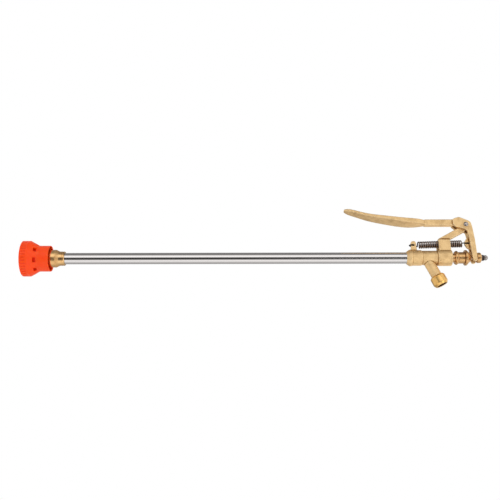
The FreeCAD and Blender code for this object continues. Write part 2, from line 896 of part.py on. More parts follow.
def make_inlet_socket():
    """Turned socket lapped over the branch's end, with the female hose thread in its mouth."""
    body = make_body("inlet_socket")
    start = dims.branch_length - dims.socket_lap
    web_end = dims.branch_length + dims.socket_web
    thread_end = web_end + dims.inlet_seal_thickness
    mouth = thread_end + dims.socket_thread_depth
    revolve(body, [
        (dims.branch_radius, start),
        (dims.socket_shoulder_radius, start),
        (dims.socket_radius, start + dims.socket_shoulder),
        (dims.socket_radius, mouth - dims.socket_lip),
        (dims.socket_radius - dims.socket_lip, mouth),
        (dims.socket_thread_radius, mouth),
        (dims.socket_thread_radius, thread_end),
        (dims.inlet_seal_radius, thread_end),
        (dims.inlet_seal_radius, web_end),
        (dims.branch_bore_radius, web_end),
        (dims.branch_bore_radius, dims.branch_length),
        (dims.branch_radius, dims.branch_length),
    ], "XZ_Plane", "V_Axis")
    tilt_to_branch(body)
    return body


def make_inlet_seal():
    body = make_body("inlet_seal")
    start = dims.branch_length + dims.socket_web
    end = start + dims.inlet_seal_thickness
    rim = dims.inlet_seal_radius
    bore = dims.branch_bore_radius
    revolve(body, [(bore, start), (rim, start), (rim, end), (bore, end)], "XZ_Plane", "V_Axis")
    tilt_to_branch(body)
    return body


def tilt_to_branch(body):
    axis, angle = branch_turn
    body.Placement = FreeCAD.Placement(Vector(), FreeCAD.Rotation(axis, angle.value))
    body.setExpression("Placement.Rotation.Angle", angle.text)
    body.setExpression("Placement.Base.x", dims.branch_x.text)
    doc.recompute()


def make_gland_packing():
    bore = dims.packing_bore_radius
    return make_turned("gland_packing", [
        (packing_start, rod_bore), (follower_start, rod_bore), (follower_start, bore), (packing_start, bore),
    ])


def make_gland_follower():
    bore = dims.packing_bore_radius
    return make_turned("gland_follower", [
        (follower_start, rod_bore), (gland_start, rod_bore), (gland_start, bore), (follower_start, bore),
    ])


def make_gland_nut():
    middle = gland_flange_start + dims.gland_flange_length / 2
    edge = dims.gland_barrel_radius + dims.gland_flange_step
    body = make_turned("gland_nut", [
        (gland_start, rod_bore),
        (gland_end, rod_bore),
        (gland_end, dims.gland_barrel_radius),
        (gland_barrel_start, dims.gland_barrel_radius),
        (gland_barrel_start, edge),
        (middle, dims.gland_flange_radius),
        (gland_flange_start, edge),
        (gland_flange_start, dims.gland_neck_radius),
        (body_end, dims.gland_neck_radius),
        (body_end, dims.packing_bore_radius),
        (gland_start, dims.packing_bore_radius),
    ])
    round_rims(body, "gland_flange_round", [(middle, dims.gland_flange_radius)], dims.gland_flange_round)
    return body


def make_spindle_sleeve():
    body = make_turned("spindle_sleeve", [
        (sleeve_start, rod_radius),
        (sleeve_end, rod_radius),
        (sleeve_end, dims.sleeve_cone_radius),
        (cone_start, dims.sleeve_flange_radius),
        (sleeve_start, dims.sleeve_flange_radius),
    ])
    rims = [(sleeve_start, dims.sleeve_flange_radius), (cone_start, dims.sleeve_flange_radius)]
    round_rims(body, "sleeve_rounds", rims, dims.sleeve_round)
    return body


def make_stop_collar():
    rim = dims.collar_radius
    body = make_turned("stop_collar", [
        (collar_start, rod_radius), (collar_end, rod_radius), (collar_end, rim), (collar_start, rim),
    ])
    round_rims(body, "collar_rounds", [(collar_start, rim), (collar_end, rim)], dims.collar_round)
    return body


def make_end_washer():
    stud = dims.rod_stud_radius
    rim = dims.end_washer_radius
    return make_turned("end_washer", [
        (collar_end, stud), (nut_start, stud), (nut_start, rim), (collar_end, rim),
    ])


def make_dome_nut():
    body = make_body("dome_nut")
    sketch = body.newObject("Sketcher::SketchObject", "dome_nut_hexagon")
    sketch.AttachmentSupport = [(plane_of(body, "YZ_Plane"), "")]
    sketch.MapMode = "FlatFace"
    sketch.setExpression(".AttachmentOffset.Base.z", nut_start.text)
    draw_hexagon(sketch, dims.nut_across_flats)
    pad = body.newObject("PartDesign::Pad", "dome_nut_hex")
    pad.Profile = sketch
    pad.setExpression("Length", dims.nut_hex_length.text)
    doc.recompute()
    dome = dims.nut_dome_radius
    dome_start = nut_start + dims.nut_hex_length / 2
    dome_end = nut_hex_end + dims.nut_dome_rise + dome
    sketch = make_sketch(body, "XZ_Plane", "dome_profile", [
        (dome_start, 0), (dome_start, dome), (dome_end, dome), (dome_end, 0),
    ])
    turned = body.newObject("PartDesign::Revolution", "dome")
    turned.Profile = sketch
    turned.ReferenceAxis = (sketch, ["H_Axis"])
    turned.Angle = 360
    doc.recompute()
    round_rims(body, "dome_round", [(dome_end, dome)], dome * 0.97)
    stud = dims.rod_stud_radius
    add_groove(body, "dome_nut_bore", [
        (nut_start, 0), (nut_start, stud), (stud_end, stud), (stud_end, 0),
    ])
    return body


def make_lever():
    """Bell crank: handle, bar, clevis head, fork link and the spring's ear, cast in one piece."""
    body = make_body("lever")
    end_x = dims.fork_end_x
    end_z = dims.fork_end_z
    end_r = dims.fork_end_radius
    pivot_x = dims.pivot_x
    pivot_z = dims.pivot_z
    under = [(pivot_x + place, pivot_z + rise) for place, rise in table_rows("head")]
    over = [(pivot_x + place, pivot_z + rise) for place, rise in table_rows("crown")]
    neck_z = end_z + end_r * 3.1
    front = end_x - end_r
    rear = end_x + end_r
    outline = under + [
        (end_x - end_r * 1.2, neck_z),
        (front, end_z),
        (front, end_z - end_r),
        (rear, end_z - end_r),
        (rear, end_z),
        (end_x + end_r * 0.95, neck_z),
    ] + over
    add_pad(body, "lever_head", outline, dims.fork_half_width * 2)
    round_corners(body, "fork_end_round", [(front, end_z - end_r), (rear, end_z - end_r)], end_r * 0.98)
    round_corners(body, "head_round", [over[2], over[3], over[4], under[3], under[4]], dims.head_round)
    slot = dims.fork_gap * 2
    slot_top = end_z + dims.fork_slot_height
    below = end_z - end_r * 2
    add_pocket(body, "fork_slot", [
        (front - end_r * 2, below), (rear + end_r * 2, below),
        (rear + end_r * 2, slot_top), (front - end_r * 2, slot_top),
    ], slot)
    boss = dims.pivot_boss_radius + dims.boss_gap
    slot_start = pivot_x - dims.arm_slot_start
    slot_roof = pivot_z + dims.arm_slot_rise
    slot_floor = pivot_z - dims.arm_slot_depth
    add_pocket(body, "arm_slot", [
        (slot_start, slot_floor),
        (slot_start, slot_roof),
        (pivot_x, slot_roof),
        (pivot_x + boss * 0.8, pivot_z - boss * 0.6),
        (pivot_x + boss * 0.7, pivot_z - boss * 1.35),
        (pivot_x, slot_floor),
    ], slot)
    ear_x = dims.ear_hole_x
    ear_z = dims.ear_hole_z
    ear = [(ear_x + dims.ear_reach * share + place, ear_z + rise) for share, place, rise in table_rows("ear")]
    add_pad(body, "ear", ear, dims.ear_thickness)
    round_corners(body, "ear_rounds", ear[1:5], dims.ear_round)
    add_bar(body)
    add_paddle(body)
    bores = fuse("lever_bores", [
        make_cylinder("lever_pin_bore", dims.pin_diameter / 2, dims.fork_half_width * 2 + 2,
                      (pivot_x, dims.fork_half_width + 1, pivot_z), ALONG_Y),
        make_cylinder("boss_slot", boss, slot, (pivot_x, dims.fork_gap, pivot_z), ALONG_Y),
        make_cylinder("ear_bore", dims.ear_hole_radius, dims.ear_thickness + 2,
                      (ear_x, dims.ear_thickness / 2 + 1, ear_z), ALONG_Y),
        make_ear_notch(),
    ])
    body.Label = "lever_casting"
    lever = cut("lever", body, bores)
    lever.Label = "lever"
    return lever


def make_ear_notch():
    """Relief in the web beside the ear, so that the spring's hook can pass round its hole."""
    notch = doc.addObject("Part::Box", "ear_notch")
    length = dims.ear_hole_radius + dims.wire_diameter + dims.ear_clearance
    height = (dims.wire_diameter + dims.ear_clearance) * 2
    notch.setExpression("Length", (length * 2).text)
    notch.setExpression("Width", (dims.fork_half_width * 2 + 2).text)
    notch.setExpression("Height", height.text)
    notch.setExpression("Placement.Base.x", (dims.ear_hole_x - length).text)
    notch.setExpression("Placement.Base.y", (-dims.fork_half_width - 1).text)
    notch.setExpression("Placement.Base.z", (dims.ear_hole_z - height / 2).text)
    keep = doc.addObject("Part::Box", "ear_keep")
    keep.setExpression("Length", (length * 2 + 2).text)
    keep.setExpression("Width", dims.ear_thickness.text)
    keep.setExpression("Height", (height + 2).text)
    keep.setExpression("Placement.Base.x", (dims.ear_hole_x - length - 1).text)
    keep.setExpression("Placement.Base.y", (-dims.ear_thickness / 2).text)
    keep.setExpression("Placement.Base.z", (dims.ear_hole_z - height / 2 - 1).text)
    return cut("ear_relief", notch, keep)


def add_bar(body):
    half = dims.bar_height / 2
    bar_end = dims.pivot_x - dims.bar_end_inset
    add_pad(body, "bar", [
        (dims.bar_start, dims.bar_z - half),
        (bar_end, dims.bar_z - half),
        (bar_end, dims.bar_z + half),
        (dims.bar_start, dims.bar_z + half),
    ], dims.bar_width)


def add_paddle(body):
    """Handle lofted from the bar's end through sections that stand square to its curve."""
    sections = [(dims.bar_start, dims.bar_z, dims.bar_width, dims.bar_height)] + table_rows("handle")
    sketches = []
    for i, (place, rise, width, thickness) in enumerate(sections):
        before = sections[max(i - 1, 0)]
        after = sections[min(i + 1, len(sections) - 1)]
        lean = 0.0
        if i > 0:
            climb = after[1].value - before[1].value
            lean = math.degrees(math.atan2(climb, before[0].value - after[0].value))
        sketch = body.newObject("Sketcher::SketchObject", f"handle_section_{i}")
        sketch.AttachmentSupport = [(plane_of(body, "YZ_Plane"), "")]
        sketch.MapMode = "FlatFace"
        sketch.AttachmentOffset = FreeCAD.Placement(Vector(), FreeCAD.Rotation(Vector(1, 0, 0), lean))
        sketch.setExpression(".AttachmentOffset.Base.y", rise.text)
        sketch.setExpression(".AttachmentOffset.Base.z", place.text)
        draw_section(sketch, width, thickness)
        sketches.append(sketch)
    loft = body.newObject("PartDesign::AdditiveLoft", "handle")
    loft.Profile = sketches[0]
    loft.Sections = sketches[1:]
    loft.Ruled = False
    doc.recompute()


def draw_section(sketch, width, thickness):
    """Oblong section whose top and underside are crowned by a seventh of its thickness."""
    half = width / 2
    side = thickness * 0.36
    crown = thickness * 0.14
    radius = (half * half + crown * crown) / (crown * 2)
    places = [(-half, side), (half, side), (half, -side), (-half, -side)]
    corners = [Vector(x.value, y.value, 0) for x, y in places]
    top = Vector(0, thickness.value / 2, 0)
    sketch.addGeometry(Part.Arc(corners[0], top, corners[1]), False)
    sketch.addGeometry(Part.LineSegment(corners[1], corners[2]), False)
    sketch.addGeometry(Part.Arc(corners[2], top * -1, corners[3]), False)
    sketch.addGeometry(Part.LineSegment(corners[3], corners[0]), False)
    sketch.addConstraint(Sketcher.Constraint("Coincident", 0, 1, 1, 1))
    sketch.addConstraint(Sketcher.Constraint("Coincident", 1, 2, 2, 2))
    sketch.addConstraint(Sketcher.Constraint("Coincident", 2, 1, 3, 1))
    sketch.addConstraint(Sketcher.Constraint("Coincident", 3, 2, 0, 2))
    tie_point(sketch, 1, 1, places[1])
    tie_point(sketch, 1, 2, places[2])
    tie_point(sketch, 3, 1, places[3])
    tie_point(sketch, 3, 2, places[0])
    for arc in (0, 2):
        index = sketch.addConstraint(Sketcher.Constraint("Radius", arc, radius.value))
        sketch.setExpression(f"Constraints[{index}]", radius.text)


def tie_point(sketch, geometry, vertex, place):
    for kind, size in zip(("DistanceX", "DistanceY"), place):
        index = sketch.addConstraint(Sketcher.Constraint(kind, -1, 1, geometry, vertex, size.value))
        sketch.setExpression(f"Constraints[{index}]", size.text)


def make_pivot_pin():
    """Headed pin pressed into the lever's cheeks; its far end is peened over the washer."""
    radius = dims.pin_diameter / 2
    face = dims.fork_half_width
    far = face + dims.pin_washer_thickness
    peened = far + dims.pin_peen_height
    top = -face - dims.pin_head_height
    body = make_body("pivot_pin")
    revolve(body, [
        (0, top),
        (dims.pin_head_radius - dims.pin_head_round, top),
        (dims.pin_head_radius, -face - dims.pin_head_land),
        (dims.pin_head_radius, -face),
        (radius, -face),
        (radius, far),
        (radius + dims.pin_peen, far),
        (radius - dims.pin_peen / 2, peened),
        (0, peened),
    ], "XY_Plane", "V_Axis")
    seat_on_pivot(body)
    return body


def make_pin_washer():
    radius = dims.pin_diameter / 2
    face = dims.fork_half_width
    far = face + dims.pin_washer_thickness
    rim = dims.pin_washer_radius
    body = make_body("pin_washer")
    revolve(body, [(radius, face), (rim, face), (rim, far), (radius, far)], "XY_Plane", "V_Axis")
    seat_on_pivot(body)
    return body


def seat_on_pivot(body):
    body.setExpression("Placement.Base.x", dims.pivot_x.text)
    body.setExpression("Placement.Base.z", dims.pivot_z.text)
    doc.recompute()


def arc_edge(start, corner, end):
    """Arc from start to end whose end tangents meet in the corner."""
    middle = (start + end) * 0.5
    rise = (corner - middle).Length
    half = (end - start).Length / 2
    if rise < 1e-6:
        return Part.LineSegment(start, end).toShape()
    turn = math.atan2(rise, half)
    sagitta = half * (1 - math.cos(turn)) / math.sin(turn)
    crown = middle + (corner - middle) * (sagitta / rise)
    return Part.Arc(start, crown, end).toShape()


def biarc_edges(start, start_way, end, end_way):
    """Two arcs that meet smoothly and join two points along their given directions."""
    chord = end - start
    ways = start_way + end_way
    a = ways.dot(ways) - 4
    b = -2 * chord.dot(ways)
    c = chord.dot(chord)
    if abs(a) < 1e-9:
        reach = -c / b
    else:
        reach = (-b - math.sqrt(b * b - 4 * a * c)) / (2 * a)
    first = start + start_way * reach
    last = end - end_way * reach
    joint = (first + last) * 0.5
    return [arc_edge(start, first, joint), arc_edge(joint, last, end)]


def spring_stations():
    """Points and directions of the spring's wire, from the tail in the lug to the tail in the ear."""
    start, end = spring_line()
    along = (end - start).normalize()
    side = Vector(0, 1, 0)
    up = along.cross(side)
    radius = (dims.coil_diameter.value - dims.wire_diameter.value) / 2
    bend = dims.wire_diameter.value
    turns = dims.coil_turns.value
    first = (dims.coil_start.value - start.x) / along.x
    last = (dims.coil_end.value - start.x) / along.x

    def place(distance, y, z):
        return start + along * distance + side * y + up * z

    near = dims.lug_thickness.value / 2 + dims.wire_diameter.value / 2 + dims.hook_gap.value
    loop = 0.75 - dims.lug_head_radius.value
    stations = [
        (place(loop, near, 0), along * -1),
        (place(loop - near, 0, 0), side * -1),
        (place(loop, -near, 0), along),
        (place(-bend, -near, 0), along),
        (place(0, -near + bend, 0), side),
        (place(0, near - bend, 0), side),
        (place(bend, near, 0), along),
        (place(first - dims.hook_lead.value, near, 0), along),
    ]
    pitch = (last - first) / turns
    slope = pitch / (2 * math.pi * radius)
    quarters = int(4 * turns)
    for i in range(quarters + 1):
        angle = math.pi / 2 * i
        out = side * math.cos(angle) + up * math.sin(angle)
        way = (up * math.cos(angle) - side * math.sin(angle) + along * slope).normalize()
        stations.append((start + along * (first + pitch * i / 4) + out * radius, way))
    near = -(dims.ear_thickness.value / 2 + dims.wire_diameter.value / 2 + dims.hook_gap.value)
    hole = (end - start).Length
    stations += [
        (place(last + dims.hook_lead.value, near, 0), along),
        (place(hole - bend, near, 0), along),
        (place(hole, near + bend, 0), side),
        (place(hole, -near - bend, 0), side),
        (place(hole - bend, -near, 0), along * -1),
        (place(hole - bend - dims.hook_tail.value, -near, 0), along * -1),
    ]
    return stations


def make_return_spring():
    """Extension spring: one wire through the lug's hook, the close coil and the hook in the ear."""
    stations = spring_stations()
    edges = []
    for (start, start_way), (end, end_way) in zip(stations, stations[1:]):
        chord = (end - start).normalize()
        if chord.dot(start_way) > 0.99999 and chord.dot(end_way) > 0.99999:
            edges.append(Part.LineSegment(start, end).toShape())
        else:
            edges += biarc_edges(start, start_way, end, end_way)
    path = Part.Wire(edges)
    point, way = stations[0]
    ring = Part.Wire([Part.Circle(point, way, dims.wire_diameter.value / 2).toShape()])
    wire = path.makePipeShell([ring], True, False)
    feature = doc.addObject("Part::Feature", "return_spring")
    feature.Shape = wire
    feature.Placement = FreeCAD.Placement()
    report_spring(path, wire)
    return feature


def report_spring(path, wire):
    """Prints how near the wire comes to itself and how its volume compares with its length."""
    count = 1600
    step = path.Length / count
    points = path.discretize(count + 1)
    skip = int(3 * dims.wire_diameter.value / step) + 1
    least = min((points[i] - points[j]).Length for i in range(0, count, 2)
                for j in range(i + skip, min(i + 260, count + 1)))
    section = math.pi * dims.wire_diameter.value ** 2 / 4
    print("spring: least gap to itself", round(least - dims.wire_diameter.value, 3), "mm, length",
          round(path.Length, 1), "mm, volume ratio", round(wire.Volume / (section * path.Length), 4))


def build():
    pieces = [
        make_lance_tube(),
        make_tube_seal("front_tube_seal", tube_front),
        make_tube_seal("rear_tube_seal", tube_rear - dims.tube_seal_thickness),
        make_nozzle_body(),
        make_nozzle_cap(),
        make_nozzle_disc(),
        make_nozzle_seal(),
        make_spray_hood(),
        make_valve_body(),
        make_inlet_socket(),
        make_inlet_seal(),
        make_gland_packing(),
        make_gland_follower(),
        make_gland_nut(),
        make_needle(),
        make_operating_rod(),
        make_spindle_sleeve(),
        make_stop_collar(),
        make_end_washer(),
        make_dome_nut(),
        make_lever(),
        make_pivot_pin(),
        make_pin_washer(),
        make_return_spring(),
    ]
    doc.recompute()
    for item in doc.Objects:
        if "Invalid" in item.State or "Error" in item.State:
            raise RuntimeError(f"{item.Label} did not compute: {item.State}")
    for piece in pieces:
        shape = piece.Shape
        if shape.isNull() or not shape.isValid() or len(shape.Solids) != 1:
            raise RuntimeError(f"{piece.Label} is not one valid solid")
    os.makedirs("parts", exist_ok=True)
    for piece in pieces:
        piece.Shape.exportStep(os.path.join("parts", piece.Label + ".step"))
        print(piece.Label, round(piece.Shape.Volume, 1), "mm3")


build()
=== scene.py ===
"""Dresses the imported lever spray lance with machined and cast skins, finishes, light and a camera.

Sizes are millimetres in the lance's own frame: X along the tube towards the operating rod's nut,
Z up on the lever's side, origin on the tube's axis in the front face of the cast valve body.
"""

import json
import logging
import math
from dataclasses import dataclass, replace
from enum import Enum
from functools import cache, partial, reduce
from typing import Callable, Sequence

import bmesh
import bpy
import numpy as np
from mathutils import Matrix, Vector

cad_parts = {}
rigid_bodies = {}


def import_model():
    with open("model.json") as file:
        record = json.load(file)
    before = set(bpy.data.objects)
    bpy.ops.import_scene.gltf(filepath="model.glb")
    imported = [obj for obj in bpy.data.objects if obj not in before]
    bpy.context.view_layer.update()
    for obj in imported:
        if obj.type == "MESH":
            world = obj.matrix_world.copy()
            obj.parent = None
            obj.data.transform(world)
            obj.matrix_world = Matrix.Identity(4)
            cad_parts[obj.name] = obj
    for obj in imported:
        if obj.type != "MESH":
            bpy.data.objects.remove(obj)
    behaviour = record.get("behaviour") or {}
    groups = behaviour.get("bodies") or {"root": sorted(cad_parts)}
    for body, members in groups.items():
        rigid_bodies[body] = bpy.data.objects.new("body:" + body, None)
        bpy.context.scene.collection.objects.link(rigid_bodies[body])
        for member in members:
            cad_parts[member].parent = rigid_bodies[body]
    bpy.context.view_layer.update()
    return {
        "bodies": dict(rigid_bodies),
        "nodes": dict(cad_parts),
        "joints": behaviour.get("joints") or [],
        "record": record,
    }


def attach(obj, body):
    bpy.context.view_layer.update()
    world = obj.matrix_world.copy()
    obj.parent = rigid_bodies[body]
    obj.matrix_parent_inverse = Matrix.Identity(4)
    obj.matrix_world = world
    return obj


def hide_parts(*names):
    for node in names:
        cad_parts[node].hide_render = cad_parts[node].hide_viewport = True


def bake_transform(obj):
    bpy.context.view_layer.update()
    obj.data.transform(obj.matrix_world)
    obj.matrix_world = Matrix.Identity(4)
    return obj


MM = 0.001
LOG = logging.getLogger("spray_lance")

# Greatest share of a side that a fillet takes, and share and length to the points beside it
FILLET_SHARE, LEAD_SHARE, LEAD_LENGTH = 0.46, 0.02, 0.06
# Distance in metres within which a shown mesh's points are welded
WELD = 2e-6
# Length of a Hermite span's end tangents in chords
HERMITE_PULL = 1.1
# Values between which most of a noise lies
NOISE_SPAN = (0.3, 0.7)
# Lean of the inlet's branch in degrees, towards +X from straight down
BRANCH_TILT = 24.5
X_TO_Y = np.array([[0.0, -1.0, 0.0], [1.0, 0.0, 0.0], [0.0, 0.0, 1.0]])

Array = np.ndarray
Relief = Callable[[Array, Array, Array], Array]
Keep = Callable[[Array, Array], Array]
Corner = tuple[float, float, float]
Block = tuple[Corner, Corner]
Span = tuple[float, float, float, float]
Socket = bpy.types.NodeSocket
Feed = Socket | float | tuple[float, ...]


class Body(Enum):
    """The three moving groups that a piece can ride on."""

    LANCE = "lance"
    LEVER = "squeeze_lever"
    ROD = "rod_group"


@dataclass
class Surface:
    """Points in millimetres, the quads that join them, and each point's tone for the finish."""

    points: Array
    quads: Array
    tone: Array | None = None

    def radius(self) -> Array:
        """Distance of each point from the X axis."""
        return np.hypot(self.points[:, 1], self.points[:, 2])

    def placed(self, turn: Array, offset: Sequence[float]) -> "Surface":
        """Turns the surface and then moves it: p' = R p + o."""
        return Surface(self.points @ turn.T + np.asarray(offset, float), self.quads, self.tone)


def grid_surface(grid: Array, wrap_rows: bool, wrap_columns: bool,
                 keep: Array | None = None) -> Surface:
    """Joins the points of a grid to quads (i, j), (i, j + 1), (i + 1, j + 1), (i + 1, j).

    Args:
        grid: Points, rows by columns by 3.
        wrap_rows: Whether the last row joins the first.
        wrap_columns: Whether the last column joins the first.
        keep: Which quads stay, rows by columns of the quads; all of them if not given.

    Returns:
        The surface.
    """
    rows, columns = grid.shape[:2]
    index = np.arange(rows * columns).reshape(rows, columns)
    if wrap_rows:
        index = np.concatenate([index, index[:1]])
    if wrap_columns:
        index = np.concatenate([index, index[:, :1]], axis=1)
    quads = np.stack([index[:-1, :-1], index[:-1, 1:], index[1:, 1:], index[1:, :-1]], axis=-1)
    quads = quads[keep] if keep is not None else quads.reshape(-1, 4)
    return Surface(grid.reshape(-1, 3), quads)


def rounded_profile(corners: Sequence[Corner], closed: bool, steps: int = 4) -> Array:
    """Rounds the corners of an outline with parabolic fillets.

    At a corner C with fillet f and turn t, the fillet runs from A = C - u f tan(t / 2) to
    B = C + v f tan(t / 2), as (1 - s)^2 A + 2 s (1 - s) C + s^2 B for s from 0 to 1. A point just
    before A and one just after B keep the straight runs flat in the shading.

    Args:
        corners: Place along the axis, radius and fillet of each corner.
        closed: Whether the last corner joins the first.
        steps: Spans in a fillet.

    Returns:
        Points of the outline, n by 2.
    """
    table = np.asarray(corners, float)
    points, fillet = table[:, :2], table[:, 2:]
    before, after = np.roll(points, 1, axis=0), np.roll(points, -1, axis=0)
    length_in = np.linalg.norm(points - before, axis=1, keepdims=True) + 1e-12
    length_out = np.linalg.norm(after - points, axis=1, keepdims=True) + 1e-12
    way_in, way_out = (points - before) / length_in, (after - points) / length_out
    turn = np.arccos(np.clip(np.sum(way_in * way_out, axis=1, keepdims=True), -1.0, 1.0))
    reach = np.minimum(fillet * np.tan(turn / 2), FILLET_SHARE * np.minimum(length_in, length_out))
    start, end = points - way_in * reach, points + way_out * reach
    s = np.linspace(0.0, 1.0, steps + 1)[None, :, None]
    arcs = ((1 - s) ** 2 * start[:, None] + 2 * s * (1 - s) * points[:, None]
            + s ** 2 * end[:, None])
    lead = start - way_in * np.minimum(LEAD_LENGTH, LEAD_SHARE * length_in)
    tail = end + way_out * np.minimum(LEAD_LENGTH, LEAD_SHARE * length_out)
    blocks = np.concatenate([lead[:, None], arcs, tail[:, None]], axis=1)
    if closed:
        return blocks.reshape(-1, 2)
    return np.concatenate([points[:1], blocks[1:-1].reshape(-1, 2), points[-1:]])


def lathe(profile: Array, closed: bool, turns: int, relief: Relief | None = None,
          keep: Keep | None = None) -> Surface:
    """Turns a profile about the X axis: P(i, a) = (x_i, r cos a, r sin a), r = r_i + relief.

    Args:
        profile: Place and radius of each point, n by 2.
        closed: Whether the profile is a loop.
        turns: Points in each circle.
        relief: Change of the radius by place, angle and radius.
        keep: Tells for an open profile, from the quads' places and angles, which of them stay.

    Returns:
        The turned surface.
    """
    angle = np.linspace(0.0, 2 * np.pi, turns, endpoint=False)[None, :]
    x, r = profile[:, :1], profile[:, 1:]
    if relief:
        r = r + relief(x, angle, r)
    grid = np.stack([x * np.ones_like(angle), r * np.cos(angle), r * np.sin(angle)], axis=-1)
    mask = keep((x[:-1] + x[1:]) / 2, angle + np.pi / turns) if keep else None
    return grid_surface(grid, closed, True, mask)


def turned(corners: Sequence[Corner], closed: bool = True, turns: int = 96, steps: int = 4,
           relief: Relief | None = None) -> Surface:
    """Rounds the corners of an outline and turns it about the X axis."""
    return lathe(rounded_profile(corners, closed, steps), closed, turns, relief)


def faded(x: Array, start: float, end: float, width: float) -> Array:
    """Share that is 1 between start and end and falls to 0 over the width inside both."""
    return np.clip((x - start) / width, 0, 1) * np.clip((end - x) / width, 0, 1)


def folded(angle: Array, count: int, turn: float = 0.0) -> Array:
    """Angle from the nearest of a number of even places round the axis, one of them at the turn."""
    pitch = 2 * np.pi / count
    return np.mod(angle - turn + pitch / 2, pitch) - pitch / 2


def hexagon_relief(across_flats: float, chamfer: float, x: Array, angle: Array,
                   radius: Array) -> Array:
    """Relief that turns a round blank into a hexagon with chamfered ends.

    The flats are h(a) = (w / 2) / cos(a'), with a' the angle from the nearest flat's middle, and
    the surface is the lesser of h and the blank's own radius, whose chamfer cuts the corners.

    Args:
        across_flats: Width w of the hexagon.
        chamfer: Radius under which the blank is left as it is.
        x: Places along the axis; not used.
        angle: Angles round it.
        radius: Radii of the blank.

    Returns:
        Change of the radii.
    """
    flats = across_flats / 2 / np.cos(folded(angle, 6))
    return np.where(radius > chamfer, np.minimum(flats, radius) - radius, 0.0)


def filled(profile: Array, radius: float, step: float) -> Array:
    """Adds points to the long straight run of a profile at a radius, so it can carry a relief.

    Args:
        profile: Place and radius of each point.
        radius: The run's radius.
        step: Distance between the new points.

    Returns:
        The profile with the new points in their order.
    """
    place, on_run = profile[:, 0], np.abs(profile[:, 1] - radius) < 1e-6
    long = np.abs(np.diff(place)) > step * 2
    first = int(np.flatnonzero(on_run[:-1] & on_run[1:] & long)[0])
    x0, x1 = place[first], place[first + 1]
    run = np.linspace(x0, x1, int(abs(x1 - x0) / step) + 2)[1:-1]
    extra = np.stack([run, np.full_like(run, radius)], axis=1)
    return np.concatenate([profile[:first + 1], extra, profile[first + 1:]])


def swept_tube(path: Array, radius: float, around: int) -> Surface:
    """Carries a circle along a path without twist.

    Each point gets a normal n from a fixed direction. The normal before it is carried over by the
    least turn between the two tangents, its angle to n is added up along the path, and n is turned
    back by that sum: P(i, a) = path_i + r (n_i cos(a - sum_i) + b_i sin(a - sum_i)).

    Args:
        path: Points of the path, n by 3.
        radius: Radius r of the wire.
        around: Points in each circle.

    Returns:
        The tube with closed ends.
    """
    tangent = np.gradient(path, axis=0)
    tangent /= np.linalg.norm(tangent, axis=1, keepdims=True)
    fixed = np.where(np.abs(tangent[:, :1]) > 0.8, [[0.0, 0.0, 1.0]], [[1.0, 0.0, 0.0]])
    normal = fixed - tangent * np.sum(fixed * tangent, axis=1, keepdims=True)
    normal /= np.linalg.norm(normal, axis=1, keepdims=True)
    side = np.cross(tangent, normal)
    t0, t1, n0 = tangent[:-1], tangent[1:], normal[:-1]
    axis = np.cross(t0, t1)
    scale = 1.0 / (1.0 + np.sum(t0 * t1, axis=1, keepdims=True))
    carried = n0 + np.cross(axis, n0) + np.cross(axis, np.cross(axis, n0)) * scale
    step = np.arctan2(np.sum(carried * side[1:], axis=1), np.sum(carried * normal[1:], axis=1))
    total = np.concatenate([[0.0], np.cumsum(step)])[:, None, None]
    angle = np.linspace(0.0, 2 * np.pi, around, endpoint=False)[None, :, None] + total
    ring = normal[:, None] * np.cos(angle) + side[:, None] * np.sin(angle)
    grid = path[:, None] + radius * ring
    domes = [path[:1, None] + 0 * ring[:1], path[-1:, None] + 0 * ring[-1:]]
    return grid_surface(np.concatenate([domes[0], grid, domes[1]]), False, True)


def hermite_path(points: Array, ways: Array, steps: int) -> Array:
    """Joins points by cubic Hermite spans whose end tangents are the ways times the chord.

    Args:
        points: Points, n by 3.
        ways: Unit direction at each point, n by 3.
        steps: Points in each span.

    Returns:
        Points of the path.
    """
    s = np.linspace(0.0, 1.0, steps, endpoint=False)[None, :, None]
    start, end = points[:-1, None], points[1:, None]
    chord = np.linalg.norm(end - start, axis=2, keepdims=True) * HERMITE_PULL
    first, last = ways[:-1, None] * chord, ways[1:, None] * chord
    spans = ((2 * s ** 3 - 3 * s ** 2 + 1) * start + (s ** 3 - 2 * s ** 2 + s) * first
             + (3 * s ** 2 - 2 * s ** 3) * end + (s ** 3 - s ** 2) * last)
    return np.concatenate([spans.reshape(-1, 3), points[-1:]])


def relaxed(points: Array, edges: Array, rounds: int) -> Array:
    """Smooths a mesh: in each round a point moves half the way to its neighbours' mean.

    Args:
        points: Points, n by 3.
        edges: Pairs of joined points, m by 2.
        rounds: Number of rounds.

    Returns:
        The smoothed points.
    """
    near, far = np.concatenate([edges, edges[:, ::-1]]).T
    count = np.bincount(near, minlength=len(points))[:, None]
    for _ in range(rounds):
        total = [np.bincount(near, points[far, k], len(points)) for k in range(3)]
        mean = np.stack(total, axis=1) / np.maximum(count, 1)
        points = (points + mean) / 2
    return points


def linear(code: str) -> tuple[float, float, float, float]:
    """Turns an sRGB hex colour to linear: c / 12.92 to 0.04045, then ((c + 0.055) / 1.055)^2.4.

    Args:
        code: Colour such as "#E3BE86".

    Returns:
        Linear red, green, blue and an alpha of 1.
    """
    channels = np.array([int(code[i:i + 2], 16) for i in (1, 3, 5)]) / 255.0
    values = np.where(channels <= 0.04045, channels / 12.92, ((channels + 0.055) / 1.055) ** 2.4)
    return (*values.tolist(), 1.0)


def read(items: bpy.types.bpy_prop_collection, name: str, width: int,
         kind: type = np.float32) -> Array:
    """Reads a property of all items.

    Args:
        items: The items.
        name: The property's name.
        width: Number of values in each.
        kind: Type of the values.

    Returns:
        The values, one row for each item.
    """
    values = np.empty(len(items) * width, kind)
    items.foreach_get(name, values)
    return values.reshape(-1, width)


